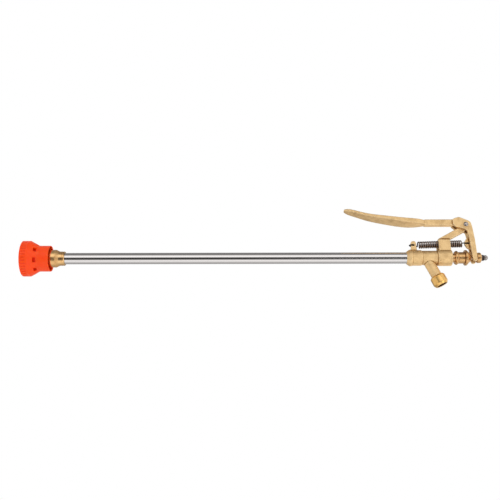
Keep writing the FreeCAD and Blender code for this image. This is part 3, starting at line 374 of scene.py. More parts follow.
def mark(mesh: bpy.types.Mesh, name: str, values: Array) -> None:
    """Stores a value for each vertex as a named attribute."""
    data = mesh.attributes.new(name, "FLOAT", "POINT").data
    data.foreach_set("value", values.astype(np.float32))


def move(mesh: bpy.types.Mesh, points: Array) -> None:
    """Moves the vertices to points in millimetres."""
    mesh.vertices.foreach_set("co", (points * MM).astype(np.float32).ravel())
    mesh.update()


def new_object(name: str, data: bpy.types.ID) -> bpy.types.Object:
    """Adds an object to the scene.

    Args:
        name: Its name.
        data: Its mesh, camera or light.

    Returns:
        The object.
    """
    item = bpy.data.objects.new(name, data)
    bpy.context.scene.collection.objects.link(item)
    return item


class Graph:
    """A shader's node tree. Each method adds a node and returns the socket to use it by."""

    def __init__(self, tree: bpy.types.NodeTree, target: str) -> None:
        """Empties a node tree and gives it an output node.

        Args:
            tree: The tree.
            target: "Material" or "World".
        """
        tree.nodes.clear()
        self.tree = tree
        self.output = tree.nodes.new("ShaderNodeOutput" + target).inputs["Surface"]

    def add(self, kind: str, inputs: dict[str | int, Feed], output: str | int = 0,
            **settings: object) -> Socket:
        """Adds a node, sets its properties, and fills or links its inputs.

        Args:
            kind: The node's type name after "ShaderNode".
            inputs: Socket names or numbers, each with a value or the output socket that feeds it.
            output: Name or number of the output socket.
            settings: Properties of the node.

        Returns:
            The output socket.
        """
        node = self.tree.nodes.new("ShaderNode" + kind)
        for name, value in settings.items():
            setattr(node, name, value)
        for name, value in inputs.items():
            if isinstance(value, Socket):
                self.tree.links.new(value, node.inputs[name])
            else:
                node.inputs[name].default_value = value
        return node.outputs[output]

    def finish(self, shader: Socket) -> None:
        """Links the shader to the output node."""
        self.tree.links.new(shader, self.output)

    def place(self) -> Socket:
        """Object coordinates in metres."""
        return self.add("TexCoord", {}, "Object")

    def attribute(self, name: str) -> Socket:
        """Value of a mesh attribute."""
        return self.add("Attribute", {}, "Fac", attribute_name=name)

    def maths(self, operation: str, *values: Feed) -> Socket:
        """Result of a math node."""
        return self.add("Math", dict(enumerate(values)), operation=operation)

    def greatest(self, *values: Socket) -> Socket:
        """Greatest of some values."""
        return reduce(lambda first, second: self.maths("MAXIMUM", first, second), values)

    def ranged(self, value: Socket, low: float, high: float, start: Feed = 0.0, end: Feed = 1.0,
               interpolation: str = "LINEAR") -> Socket:
        """Maps a value between low and high to one between start and end, and no further."""
        return self.add("MapRange", {"Value": value, "From Min": low, "From Max": high,
                                     "To Min": start, "To Max": end},
                        interpolation_type=interpolation)

    def mixed(self, share: Socket, first: Feed, second: Feed) -> Socket:
        """Colour that is the first at share 0 and the second at share 1."""
        return self.add("Mix", {0: share, 6: first, 7: second}, 2, data_type="RGBA")


def new_material(name: str, surface: Callable[[Graph], Socket]) -> bpy.types.Material:
    """Makes a material.

    Args:
        name: Its name.
        surface: Adds the nodes to its graph and returns the shader.

    Returns:
        The material.
    """
    material = bpy.data.materials.new(name)
    material.use_nodes = True
    graph = Graph(material.node_tree, "Material")
    graph.finish(surface(graph))
    return material


@dataclass(frozen=True)
class Noise:
    """Noise on a piece's own axes, turned about Y by the lean; features in millimetres."""

    size: float
    detail: float = 3.0
    stretch: Corner = (1.0, 1.0, 1.0)
    lean: float = 0.0
    roughness: float = 0.5
    distortion: float = 0.0

    def value(self, graph: Graph) -> Socket:
        """Adds the noise to a graph.

        Args:
            graph: The graph.

        Returns:
            The noise's value.
        """
        turn, squeeze = (0.0, math.radians(self.lean), 0.0), tuple(1.0 / s for s in self.stretch)
        axes = graph.add("Mapping", {"Vector": graph.place(), "Rotation": turn})
        drawn = graph.add("Mapping", {"Vector": axes, "Scale": squeeze})
        return graph.add("TexNoise", {
            "Vector": drawn, "Scale": 1.0 / (self.size * MM), "Detail": self.detail,
            "Roughness": self.roughness, "Distortion": self.distortion}, "Fac")


@dataclass(frozen=True)
class Mask:
    """Share that follows a noise, a mesh attribute, or the attribute plus half the noise."""

    span: Span = (0.0, 1.0, 0.0, 1.0)
    noise: Noise | None = None
    attribute: str = ""

    def share(self, graph: Graph) -> Socket:
        """Adds the mask to a graph.

        Args:
            graph: The graph.

        Returns:
            The source's value, mapped by the span.
        """
        value = self.noise.value(graph) if self.noise else graph.attribute(self.attribute)
        if self.noise and self.attribute:
            value = graph.maths("MULTIPLY_ADD", value, 0.5, graph.attribute(self.attribute))
        return graph.ranged(value, *self.span)


@dataclass(frozen=True)
class Plastic:
    """What a plastic's shader needs: its gloss, and the share of light that enters its skin."""

    specular: float = 0.5
    glow: float = 0.0
    glow_depth: float = 0.004
    glow_radius: Corner = (1.0, 0.3, 0.1)
    index: float = 1.49

    def inputs(self) -> dict[str, Feed]:
        """The shader's inputs."""
        return {"IOR": self.index, "Specular IOR Level": self.specular,
                "Subsurface Weight": self.glow, "Subsurface Scale": self.glow_depth,
                "Subsurface Radius": self.glow_radius}


@dataclass(frozen=True)
class Finish:
    """A finish: its pattern drives roughness and bump, and layers lie over its colour.

    A layer is a colour and its masks, and shows by the greatest share of them. Where a matt
    roughness is given, the attribute "tone" says where it applies. The bump has a strength and a
    height in metres.
    """

    name: str
    slot: str
    colour: str
    pattern: Noise
    roughness: tuple[float, float]
    bump: tuple[float, float]
    layers: tuple[tuple[str | Mask, ...], ...] = ()
    matt: float = 0.0
    plastic: Plastic | None = None

    @cache
    def material(self) -> bpy.types.Material:
        """The finish's material, built when it is first asked for."""
        return new_material(self.name, self.surface)

    def surface(self, graph: Graph) -> Socket:
        """Adds the finish's nodes to a graph.

        Args:
            graph: The material's graph.

        Returns:
            The shader.
        """
        pattern, colour = self.pattern.value(graph), linear(self.colour)
        for layer_colour, *masks in self.layers:
            share = graph.greatest(*(mask.share(graph) for mask in masks))
            colour = graph.mixed(share, colour, linear(layer_colour))
        rough = graph.ranged(pattern, *NOISE_SPAN, *self.roughness)
        if self.matt:
            rough = graph.ranged(graph.attribute("tone"), 0.0, 1.0, rough, self.matt)
        inputs = self.plastic.inputs() if self.plastic else {"Metallic": 1.0}
        if any(self.bump):
            strength, height = self.bump
            inputs["Normal"] = graph.add("Bump", {
                "Height": pattern, "Strength": strength, "Distance": height})
        return graph.add("BsdfPrincipled", {"Base Color": colour, "Roughness": rough, **inputs})


# Off the lathe: fine tool lines round the piece's own axis, under a soft stain
TOOL_LINES = Noise(0.22, 2.0, (1.0, 50.0, 50.0))
TOOL_BUMP = (0.5, 0.00002)
STAIN = Mask((0.45, 0.75, 0.0, 0.5), Noise(6.0))
# Painted shade where the attribute "tone" is high: the socket's bore, the dome nut's hexagon, the
# hood's grip grooves and its inner sleeve
PAINTED_SHADE = Mask(attribute="tone")
TURNED = Finish("turned_brass", "turned_brass", "#DDB078", TOOL_LINES, (0.2, 0.3125), TOOL_BUMP,
                (("#BC8A52", STAIN),))
NOZZLE = Finish("bright_turned_brass", "turned_brass", "#EBBF84", TOOL_LINES, (0.16, 0.25),
                TOOL_BUMP, (("#C58F52", STAIN),), matt=0.5)
# Its near-black layer is painted shade in the socket's bore, where "tone" is high
RING = Finish("polished_brass", "polished_brass", "#EDBE74",
              replace(TOOL_LINES, lean=90.0 - BRANCH_TILT), (0.192, 0.3), TOOL_BUMP,
              (("#BC8432", STAIN), ("#2E1806", PAINTED_SHADE)))
# Where "tone" is 1, on the dome nut's hexagon, the steel is painted dark as painted shade
STEEL = Finish("bright_plated_steel", "bright_steel", "#A89F9A", TOOL_LINES, (0.128, 0.2),
               TOOL_BUMP, (("#6F6763", STAIN), ("#3F3733", PAINTED_SHADE)))
ROD = Finish("ground_stainless", "stainless_rod", "#B79F82", replace(TOOL_LINES, size=0.12),
             (0.192, 0.3), TOOL_BUMP, (("#8E7355", STAIN),))
# Sand-cast and shot-blasted: satin and tarnished in clouds, with painted shade in its hollows
# and a painted highlight on its edges
CAST = Finish(
    "sand_cast_brass", "cast_brass", "#F0CE98", Noise(0.8, roughness=0.6), (0.46, 0.62),
    (0.55, 0.00012), (
        # Tarnish in clouds, and painted shade in the hollows where the attribute "edge" is below 0
        ("#92642C", Mask((0.42, 0.72, 0.0, 0.35), Noise(9.0, 4.0, roughness=0.62)),
         Mask((-0.08, -0.9, 0.0, 0.95), attribute="edge")),
        # Painted highlight on the edges that stand out
        ("#FBE7BE", Mask((0.5, 2.2, 0.0, 0.6), attribute="edge")),
    ))
# Cold-drawn and polished lengthwise: long hairlines and clean reflections
TUBE = Finish("drawn_stainless", "stainless_tube", "#DAD6D4",
              Noise(0.18, stretch=(250.0, 1.0, 1.0)), (0.09, 0.15), (0.15, 0.000002))
# Near-black oxide, with a painted highlight of bright steel outside on the turns, where "tone" is 1
SPRING = Finish("oil_tempered_wire", "spring_steel", "#1F1714", Noise(1.6), (0.26, 0.4),
                (0.0, 0.0), (("#A08E84", Mask((0.75, 1.05, 0.0, 1.0), Noise(1.6), "tone")),))
# Moulded: the fine spark-eroded texture of the mould and a soft flow pattern
MOULD_BUMP = (0.3, 0.00003)
FLOW = Mask((0.4, 0.7, 0.0, 0.35), Noise(7.0, 2.0, distortion=0.6))
# Darker red where "tone" is high: painted shade in the grip grooves and on the inner sleeve
HOOD = Finish("orange_polypropylene", "orange_plastic", "#FF4A02", Noise(0.45, 2.0),
              (0.3168, 0.4032), MOULD_BUMP, (("#F84000", FLOW), ("#E22E00", PAINTED_SHADE)),
              plastic=Plastic(specular=0.2, glow=0.35))
RUBBER = Finish("nitrile_rubber", "black_rubber", "#1D1C1B", Noise(0.6, 2.0), (0.5456, 0.6944),
                MOULD_BUMP, (("#282624", FLOW),), plastic=Plastic())
PACKING = Finish("ptfe_packing", "packing_ptfe", "#EDEBE4", Noise(0.8, 2.0), (0.44, 0.56),
                 MOULD_BUMP, (("#E2DFD6", FLOW),), plastic=Plastic())


@dataclass
class Piece:
    """A shown piece: its name, the group it rides on, if only one, its solid and its finish.

    Edges where two faces turn by more than the sharp angle are shaded sharp.
    """

    name: str
    body: Body | None
    node: str
    finish: Finish
    sharp_degrees: float = 32.0

    def from_surface(self, surface: Surface) -> bpy.types.Object:
        """Makes the piece's mesh from a surface.

        Args:
            surface: The surface in millimetres.

        Returns:
            The piece's object.
        """
        mesh = bpy.data.meshes.new(self.name)
        mesh.from_pydata((surface.points * MM).tolist(), [], surface.quads.tolist())
        if surface.tone is not None:
            mark(mesh, "tone", surface.tone)
        return self.from_mesh(mesh)

    def from_mesh(self, mesh: bpy.types.Mesh) -> bpy.types.Object:
        """Welds a mesh, turns its faces outwards, shades it and hands it to the frame.

        Args:
            mesh: The mesh in metres.

        Returns:
            The piece's object.
        """
        shell = bmesh.new()
        shell.from_mesh(mesh)
        bmesh.ops.remove_doubles(shell, verts=shell.verts, dist=WELD)
        bmesh.ops.recalc_face_normals(shell, faces=shell.faces)
        shell.to_mesh(mesh)
        shell.free()
        mesh.shade_smooth()
        mesh.set_sharp_from_angle(angle=math.radians(self.sharp_degrees))
        mesh.materials.clear()
        mesh.materials.append(self.finish.material())
        piece = new_object(self.name, mesh)
        if self.body:
            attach(piece, self.body.value)
        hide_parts(self.node)
        LOG.info("%s: %d faces, stands for %s", self.name, len(mesh.polygons), self.node)
        return piece


@dataclass
class CastSkin:
    """Sand-cast skin of a solid: melted edges, a faint parting line and a slightly uneven face."""

    voxel: float = 0.42
    melt_rounds: int = 3
    broad_rounds: int = 14
    edge_unit: float = 0.12
    parting_height: float = 0.16
    parting_width: float = 0.55
    swell: float = 0.035
    fillers: tuple[Block, ...] = ()

    def mesh_of(self, solid: bpy.types.Object) -> bpy.types.Mesh:
        """Makes the skin's mesh: voxels of the solid, relaxed, with its parting line and swell.

        The points move along their normals n by h (1 - |n_y|)^2 exp(-(y / w)^2), the parting line
        where the two halves of the mould met, and by a swell of three crossed sine waves. The
        attribute "edge" holds how far a point stands out from its neighbourhood, in edge units, so
        that the finish can paint a highlight on edges and shade in corners.

        Args:
            solid: The solid's object.

        Returns:
            The skin's mesh in metres.
        """
        mesh = self.voxels_of(solid)
        edges = read(mesh.edges, "vertices", 2, np.int32)
        points = read(mesh.vertices, "co", 3).astype(float) / MM
        points = relaxed(points, edges, self.melt_rounds)
        move(mesh, points)
        normals = read(mesh.vertex_normals, "vector", 3).astype(float)
        broad = relaxed(points, edges, self.broad_rounds)
        stand_out = np.sum((points - broad) * normals, axis=1) / self.edge_unit
        parting = self.parting_height * (1 - np.abs(normals[:, 1])) ** 2
        parting = parting * np.exp(-(points[:, 1] / self.parting_width) ** 2)
        x, y, z = points.T
        waves = (np.sin(0.9 * x + 0.7 * z) + np.sin(0.8 * y - 0.6 * x + 1.3)
                 + np.sin(1.1 * z + 0.5 * y + 2.1))
        mark(mesh, "edge", stand_out)
        move(mesh, points + normals * (parting + self.swell * waves / 3)[:, None])
        return mesh

    def voxels_of(self, solid: bpy.types.Object) -> bpy.types.Mesh:
        """Cuts a copy of the solid, with the filler blocks, into voxels.

        Args:
            solid: The solid's object.

        Returns:
            The mesh round the voxels.
        """
        copy = new_object("casting_copy", solid.data.copy())
        shell = bmesh.new()
        shell.from_mesh(copy.data)
        bmesh.ops.remove_doubles(shell, verts=shell.verts, dist=WELD * 2)
        for low, high in self.fillers:
            size = (Vector(high) - Vector(low)) * MM
            middle = (Vector(high) + Vector(low)) * MM / 2
            place = Matrix.Translation(middle) @ Matrix.Diagonal(size).to_4x4()
            bmesh.ops.create_cube(shell, size=1.0, matrix=place)
        shell.to_mesh(copy.data)
        shell.free()
        remesh = copy.modifiers.new("voxels", "REMESH")
        remesh.mode = "VOXEL"
        remesh.voxel_size = self.voxel * MM
        graph = bpy.context.evaluated_depsgraph_get()
        mesh = bpy.data.meshes.new_from_object(copy.evaluated_get(graph))
        bpy.data.objects.remove(copy)
        return mesh


@dataclass
class Group:
    """A sub-assembly whose pieces ride on one body."""

    nodes: dict[str, bpy.types.Object]
    body: Body = Body.LANCE
    casting_sharp: float = 60.0

    def skin(self, node: str, finish: Finish, surface: Surface, sharp: float = 32.0) -> None:
        """Shows a surface in place of a solid."""
        Piece(node + "_skin", self.body, node, finish, sharp).from_surface(surface)

    def casting(self, node: str, skin: CastSkin) -> None:
        """Shows a solid as a casting."""
        mesh = skin.mesh_of(self.nodes[node])
        Piece(node + "_casting", self.body, node, CAST, self.casting_sharp).from_mesh(mesh)


@dataclass
class SprayHead(Group):
    """Orange hood, nozzle body, cap and orifice disc at the lance's front end."""

    hood_front: float = -489.4
    drum_end: float = -479.8
    cone_end: float = -468.6
    hood_rear: float = -454.3
    drum_radius: float = 22.75
    rear_radius: float = 16.5
    hood_wall: float = 1.8
    hood_rim: float = 0.5
    edge_round: float = 0.18
    edge_degrees: float = 50.0
    window_start: float = -473.2
    window_end: float = -469.6
    window_degrees: float = 20.0
    windows: int = 8
    turn: float = math.radians(206.0)
    grips: int = 36
    grip_depth: float = 0.45
    grip_half_share: float = 0.19
    grip_start: float = -488.0
    grip_end: float = -481.2
    grip_fade: float = 0.7
    grip_step: float = 0.55
    # Strength of the painted shade at the bottom of the grip grooves
    grip_shade: float = 0.7
    sleeve_front: float = -478.0
    sleeve_radius: float = 15.0
    sleeve_wall: float = 1.2
    web: float = 2.5
    flange_front: float = -465.9
    spigot_radius: float = 8.0
    cap_across_flats: float = 22.0
    matt_middle: float = -445.5
    matt_width: float = 2.5

    def build(self) -> None:
        """Builds the head's pieces."""
        self.build_hood()
        self.build_core()
        self.build_nozzle()

    def grip_relief(self, x: Array, angle: Array, radius: Array) -> Array:
        """Grips of the drum: grooves of depth d (1 - (u / h)^4), faded at both ends.

        Args:
            x: Places along the axis.
            angle: Angles round it, with u their distance from the nearest groove in its pitches.
            radius: Radii before the grips.

        Returns:
            Change of the radii.
        """
        pitches = folded(angle, self.grips, self.turn) * self.grips / (2 * np.pi)
        groove = np.clip(1 - (pitches / self.grip_half_share) ** 4, 0, 1)
        fade = faded(x, self.grip_start, self.grip_end, self.grip_fade)
        return -self.grip_depth * groove * fade * (radius > self.drum_radius - 0.1)

    def beside_windows(self, x: Array, angle: Array) -> Array:
        """Tells which quads of the hood are in none of its windows.

        Args:
            x: Places along the axis.
            angle: Angles round it.

        Returns:
            True for the quads that stay.
        """
        away = np.abs(folded(angle, self.windows, self.turn))
        beside = away > math.radians(self.window_degrees / 2)
        return beside | (x < self.window_start) | (x > self.window_end)

    def build_hood(self) -> None:
        """Hood's shell: a turned skin with its windows left out, given its wall afterwards."""
        slope = (self.drum_radius - self.rear_radius) / (self.cone_end - self.drum_end)
        cuts = [self.rear_radius + (self.cone_end - x) * slope
                for x in (self.window_start, self.window_end)]
        profile = rounded_profile([
            (self.hood_front, self.drum_radius - self.hood_rim, 0.0),
            (self.hood_front + 0.15, self.drum_radius, 0.4),
            (self.drum_end, self.drum_radius, 1.1),
            (self.window_start, cuts[0], 0.0),
            (self.window_end, cuts[1], 0.0),
            (self.cone_end, self.rear_radius, 1.0),
            (self.hood_rear - 0.2, self.rear_radius, 0.5),
            (self.hood_rear, self.rear_radius - self.hood_rim, 0.0),
        ], False)
        profile = filled(profile, self.drum_radius, self.grip_step)
        surface = lathe(profile, False, 540, self.grip_relief, self.beside_windows)
        place = surface.points[:, 0]
        # Painted shade in the grip grooves: tone grows with a point's depth in them
        sunk = np.clip((self.drum_radius - surface.radius()) / self.grip_depth, 0, 1)
        surface.tone = sunk * ((place > self.grip_start) & (place < self.grip_end)) * self.grip_shade
        piece = Piece("spray_hood_shell", self.body, "spray_hood", HOOD, 40.0)
        shell = piece.from_surface(surface)
        wall = shell.modifiers.new("wall", "SOLIDIFY")
        wall.thickness = self.hood_wall * MM
        wall.offset = -1.0
        wall.use_even_offset = True
        softened = shell.modifiers.new("moulded_edges", "BEVEL")
        softened.width = self.edge_round * MM
        softened.segments = 2
        softened.limit_method = "ANGLE"
        softened.angle_limit = math.radians(self.edge_degrees)

    def build_core(self) -> None:
        """Hood's web and sleeve round the cap, seen through mouth and windows, in painted shade."""
        inner = self.sleeve_radius - self.sleeve_wall
        web_front = self.flange_front - self.web
        surface = turned([
            (self.flange_front, self.spigot_radius, 0.1),
            (self.flange_front, self.rear_radius - self.hood_wall + 0.3, 0.1),
            (self.sleeve_front, self.sleeve_radius, 0.4), (self.sleeve_front, inner, 0.4),
            (web_front, inner, 0.4), (web_front, self.spigot_radius, 0.1),
        ], turns=128)
        # Tone 1 everywhere: the whole core is painted darker red, a painted shade
        surface.tone = np.ones(len(surface.points))
        Piece("spray_hood_core", self.body, "spray_hood", HOOD).from_surface(surface)

    def build_nozzle(self) -> None:
        """Nozzle body with its matt bulge, chamfered hexagonal cap and flared orifice disc.

        The body's tone, where it is matt, is exp(-(x / w)^4) about the bulge's middle.
        """
        surface = turned([
            (-449.0, 5.2, 0.0), (-449.0, 7.25, 0.1), (-436.0, 7.25, 0.2), (-436.0, 8.5, 0.2),
            (-436.9, 9.15, 0.15), (-438.2, 9.15, 0.15), (-438.2, 8.65, 0.1), (-438.9, 8.65, 0.1),
            (-438.9, 9.15, 0.15), (-442.8, 9.15, 3.5), (-445.2, 10.3, 0.0), (-447.4, 11.35, 2.6),
            (-448.4, 11.32, 0.0), (-449.4, 11.3, 0.0), (-456.6, 11.1, 1.6), (-458.6, 8.3, 0.8),
            (-462.9, 8.3, 0.6), (-462.9, 10.5, 0.3), (-465.9, 10.5, 0.3), (-465.9, 8.0, 0.1),
            (-476.9, 8.0, 0.4), (-476.9, 5.2, 0.2),
        ], turns=128, steps=6)
        away = (surface.points[:, 0] - self.matt_middle) / self.matt_width
        surface.tone = np.exp(-away ** 4)
        self.skin("nozzle_body", NOZZLE, surface)
        flat, corner = self.cap_across_flats / 2, self.cap_across_flats / math.sqrt(3) + 0.05
        surface = turned([
            (-479.4, 4.5, 0.1), (-481.9, 5.7, 0.3), (-481.9, flat - 0.5, 0.5),
            (-479.4, corner, 0.2), (-468.4, corner, 0.2), (-468.4, 8.0, 0.1), (-479.4, 8.0, 0.1),
        ], turns=144, relief=partial(hexagon_relief, self.cap_across_flats, flat - 0.6))
        self.skin("nozzle_cap", TURNED, surface, 24.0)
        self.skin("nozzle_disc", STEEL, turned([
            (-479.4, 1.5, 0.05), (-478.9, 1.0, 0.1), (-477.9, 1.0, 0.05), (-477.9, 8.0, 0.05),
            (-479.4, 8.0, 0.05),
        ], turns=72))


@dataclass
class TubeRun(Group):
    """The straight stainless tube."""

    front: float = -447.5
    rear: float = 11.5
    outer: float = 7.25
    inner: float = 6.25

    def build(self) -> None:
        """Builds the tube: a closed profile of its two walls."""
        self.skin("lance_tube", TUBE, turned([
            (self.front, self.inner, 0.1), (self.rear, self.inner, 0.1),
            (self.rear, self.outer, 0.2), (self.front, self.outer, 0.2),
        ], turns=128))


@dataclass
class Valve(Group):
    """Cast valve body with its turned inlet socket and gland nut."""

    branch_x: float = 25.8
    bore_radius: float = 6.4
    thread_start: float = 33.6
    thread_end: float = 40.0
    thread_pitch: float = 1.15
    thread_depth: float = 0.5
    # The bore is painted dark inwards of this place, a painted shade that fades in over the fade
    # length
    bore_shade_start: float = 40.3
    bore_shade_fade: float = 0.8

    def build(self) -> None:
        """Builds the valve's pieces."""
        self.casting("valve_body", CastSkin())
        self.build_socket()
        self.build_gland_nut()

    def thread(self, x: Array, angle: Array, radius: Array) -> Array:
        """Cut thread of the bore: a rounded groove that climbs one pitch p a turn.

        The groove is d (1 + cos(2 pi x / p - a)) / 2, faded over half a pitch at both ends.

        Args:
            x: Places along the axis.
            angle: Angles round it.
            radius: Radii before the thread.

        Returns:
            Change of the radii.
        """
        groove = (1 + np.cos(2 * np.pi * x / self.thread_pitch - angle)) / 2
        fade = faded(x, self.thread_start, self.thread_end, self.thread_pitch / 2)
        return -self.thread_depth * groove * fade * (np.abs(radius - self.bore_radius) < 0.1)

    def build_socket(self) -> None:
        """Inlet socket: shoulder, ring, bevelled lip and the thread in its mouth, painted shade
        inside.
        """
        profile = rounded_profile([
            (27.1, 6.7, 0.1), (27.1, 8.2, 0.5), (28.9, 9.6, 0.9), (37.5, 9.6, 1.3),
            (40.4, 7.7, 0.6), (40.4, 6.7, 0.15), (40.1, 6.4, 0.05), (33.2, 6.4, 0.05),
            (33.2, 6.0, 0.05), (32.0, 6.0, 0.05), (32.0, 4.2, 0.05), (30.6, 4.2, 0.05),
            (30.6, 6.7, 0.05),
        ], True)
        profile = filled(profile, self.bore_radius, self.thread_pitch / 10)
        surface = lathe(profile, True, 120, self.thread)
        # Painted shade: tone darkens the wall of the bore from its mouth inwards
        inside = np.clip((self.bore_radius + 0.25 - surface.radius()) / 0.2, 0, 1)
        deep = np.clip((self.bore_shade_start - surface.points[:, 0]) / self.bore_shade_fade, 0, 1)
        surface.tone = inside * deep
        lean = math.radians(90.0 - BRANCH_TILT)
        turn = np.array(Matrix.Rotation(lean, 3, "Y"))
        surface = surface.placed(turn, (self.branch_x, 0.0, 0.0))
        self.skin("inlet_socket", RING, surface, 40.0)

    def build_gland_nut(self) -> None:
        """Gland nut: threaded neck, ridged flange and plain barrel."""
        self.skin("gland_nut", TURNED, turned([
            (50.5, 2.86, 0.1), (74.3, 2.86, 0.2), (74.3, 7.4, 0.5), (66.2, 7.4, 0.3),
            (66.2, 7.8, 0.3), (64.05, 9.4, 1.6), (61.9, 7.8, 0.3), (61.9, 5.5, 0.2),
            (58.0, 5.5, 0.1), (58.0, 5.8, 0.1), (50.5, 5.8, 0.1),
        ], turns=112, steps=6))


@dataclass
class LeverGroup(Group):
    """Cast lever with its pivot pin and washer."""

    body: Body = Body.LEVER
    pivot: Corner = (79.9, 0.0, 44.4)
    cheeks: tuple[Block, ...] = (
        ((82.5, -6.3, 16.6), (86.4, -2.9, 22.8)), ((82.5, 2.9, 16.6), (86.4, 6.3, 22.8)))

    def build(self) -> None:
        """Builds the lever, the pin with its domed near and peened far end, and the washer."""
        self.casting("lever", CastSkin(voxel=0.4, parting_height=0.12, fillers=self.cheeks))
        pin = turned([
            (-8.0, 0.0, 0.0), (-8.0, 1.7, 1.6), (-6.9, 3.1, 0.7), (-6.3, 3.1, 0.1),
            (-6.3, 2.5, 0.1), (7.2, 2.5, 0.1), (7.2, 3.0, 0.2), (8.1, 2.2, 0.4), (8.1, 0.0, 0.0),
        ], False, 64, 6)
        self.skin("pivot_pin", STEEL, pin.placed(X_TO_Y, self.pivot), 40.0)
        washer = turned([(6.3, 2.5, 0.05), (6.3, 4.2, 0.15), (7.2, 4.2, 0.2), (7.2, 2.5, 0.05)],
                        turns=64)
        self.skin("pin_washer", STEEL, washer.placed(X_TO_Y, self.pivot))


@dataclass
class RodGroup(Group):
    """Operating rod with sleeve, stop collar, washer and dome nut."""

    body: Body = Body.ROD
    nut_across_flats: float = 7.2
    nut_end: float = 99.2
    ball_x: float = 101.4
    ball_radius: float = 3.3
    ball_neck: float = 2.7

    def build(self) -> None:
        """Builds the rod group's shown pieces."""
        self.skin("operating_rod", ROD, turned([
            (-470.8, 0.0, 0.0), (-470.8, 2.8, 0.2), (95.4, 2.8, 0.2), (95.4, 2.0, 0.1),
            (100.2, 2.0, 0.2), (100.2, 0.0, 0.0),
        ], False, steps=6))
        for node, finish, corners in (
            ("spindle_sleeve", TURNED, [
                (74.6, 2.8, 0.1), (81.6, 2.8, 0.1), (81.6, 5.2, 0.3), (76.8, 10.0, 0.7),
                (74.6, 10.0, 0.7)]),
            ("stop_collar", TURNED, [
                (90.2, 2.8, 0.1), (95.4, 2.8, 0.1), (95.4, 6.7, 2.6), (90.2, 6.7, 1.5)]),
            ("end_washer", STEEL, [
                (95.4, 2.0, 0.05), (96.2, 2.0, 0.05), (96.2, 4.5, 0.2), (95.4, 4.5, 0.2)]),
        ):
            self.skin(node, finish, turned(corners, steps=6))
        self.build_dome_nut()

    def build_dome_nut(self) -> None:
        """Dome nut: chamfered hexagon and a ball (c + R cos t, R sin t) that closes it."""
        flat, corner = self.nut_across_flats / 2, self.nut_across_flats / math.sqrt(3)
        hexagon = rounded_profile([
            (96.2, 2.0, 0.0), (96.2, flat - 0.1, 0.1), (96.6, corner, 0.1), (98.8, corner, 0.1),
            (self.nut_end, flat - 0.1, 0.1), (self.nut_end, self.ball_neck, 0.1),
        ], False, 8)
        turn = np.linspace(math.pi - math.asin(self.ball_neck / self.ball_radius), 0.0, 24)
        ball = np.stack([self.ball_x + self.ball_radius * np.cos(turn),
                         self.ball_radius * np.sin(turn)], axis=1)
        relief = partial(hexagon_relief, self.nut_across_flats, self.ball_radius + 0.05)
        surface = lathe(np.concatenate([hexagon, ball]), False, 96, relief)
        # Tone 1 on the hexagon: its darker colour is painted shade against the bright ball
        surface.tone = (surface.points[:, 0] < self.nut_end + 0.05).astype(float)
        self.skin("dome_nut", STEEL, surface, 24.0)


@dataclass
class ReturnSpring:
    """Extension spring of one wire between the valve body's lug and the lever's ear."""

    start: Corner = (10.9, 0.0, 17.4)
    end: Corner = (81.9, 0.0, 19.7)
    wire: float = 1.5
    coil: float = 9.6
    turns: int = 24
    coil_start: float = 16.8
    coil_end: float = 73.2
    hook_offset: float = 2.55
    hook_lead: float = 2.6
    hook_tail: float = 2.4
    lug_head: float = 3.4
    still: float = 26.0
    carried: float = 8.5

    def stations(self) -> tuple[Array, Array]:
        """Points and directions of the wire from its tail in the lug to its tail in the ear.

        A row of the table is a place and a direction, both by the line between the two holes, the
        side Y and the way square to both. The coil's rows are (c + p a / 2 pi, R cos a, R sin a)
        and (p / 2 pi R, -sin a, cos a), with p the pitch and R the radius.

        Returns:
            Points and unit directions, n by 3 each.
        """
        start, end = np.array(self.start), np.array(self.end)
        length = float(np.linalg.norm(end - start))
        along, side = (end - start) / length, np.array([0.0, 1.0, 0.0])
        frame = np.stack([along, side, np.cross(along, side)])
        first, last = ((x - start[0]) / along[0] for x in (self.coil_start, self.coil_end))
        radius, bend, off = (self.coil - self.wire) / 2, self.wire, self.hook_offset
        loop = self.wire / 2 - self.lug_head
        lug = [
            (loop, off, 0, -1, 0, 0), (loop - off, 0, 0, 0, -1, 0), (loop, -off, 0, 1, 0, 0),
            (-bend, -off, 0, 1, 0, 0), (0, -off + bend, 0, 0, 1, 0), (0, off - bend, 0, 0, 1, 0),
            (bend, off, 0, 1, 0, 0), (first - self.hook_lead, off, 0, 1, 0, 0),
        ]
        ear = [
            (last + self.hook_lead, -off, 0, 1, 0, 0), (length - bend, -off, 0, 1, 0, 0),
            (length, -off + bend, 0, 0, 1, 0), (length, off - bend, 0, 0, 1, 0),
            (length - bend, off, 0, -1, 0, 0),
            (length - bend - self.hook_tail, off, 0, -1, 0, 0),
        ]
        angle = np.arange(self.turns * 4 + 1) * np.pi / 2
        climb = (last - first) / self.turns / (2 * np.pi)
        coil = np.stack([
            first + climb * angle, radius * np.cos(angle), radius * np.sin(angle),
            np.full_like(angle, climb / radius), -np.sin(angle), np.cos(angle)], axis=1)
        table = np.concatenate([lug, coil, ear])
        ways = table[:, 3:] @ frame
        return start + table[:, :3] @ frame, ways / np.linalg.norm(ways, axis=1, keepdims=True)

    def build(self) -> None:
        """Builds the wire between the valve body and the lever.

        The tone rises from the middle of the wire to the outside of the coil, where the finish
        paints a highlight.
        """
        points, ways = self.stations()
        surface = swept_tube(hermite_path(points, ways, 7), self.wire / 2, 14)
        start, end = np.array(self.start), np.array(self.end)
        along = (end - start) / np.linalg.norm(end - start)
        offset = surface.points - start
        distance = np.linalg.norm(offset - np.outer(offset @ along, along), axis=1)
        # Tone 1 on the outside of the coil, where the finish paints its highlight
        surface.tone = np.clip((distance - self.coil / 2 + self.wire / 2) * 2 / self.wire, 0, 1)
        piece = Piece("return_spring_wire", None, "return_spring", SPRING, 60.0)
        wire = piece.from_surface(surface)
        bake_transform(wire)


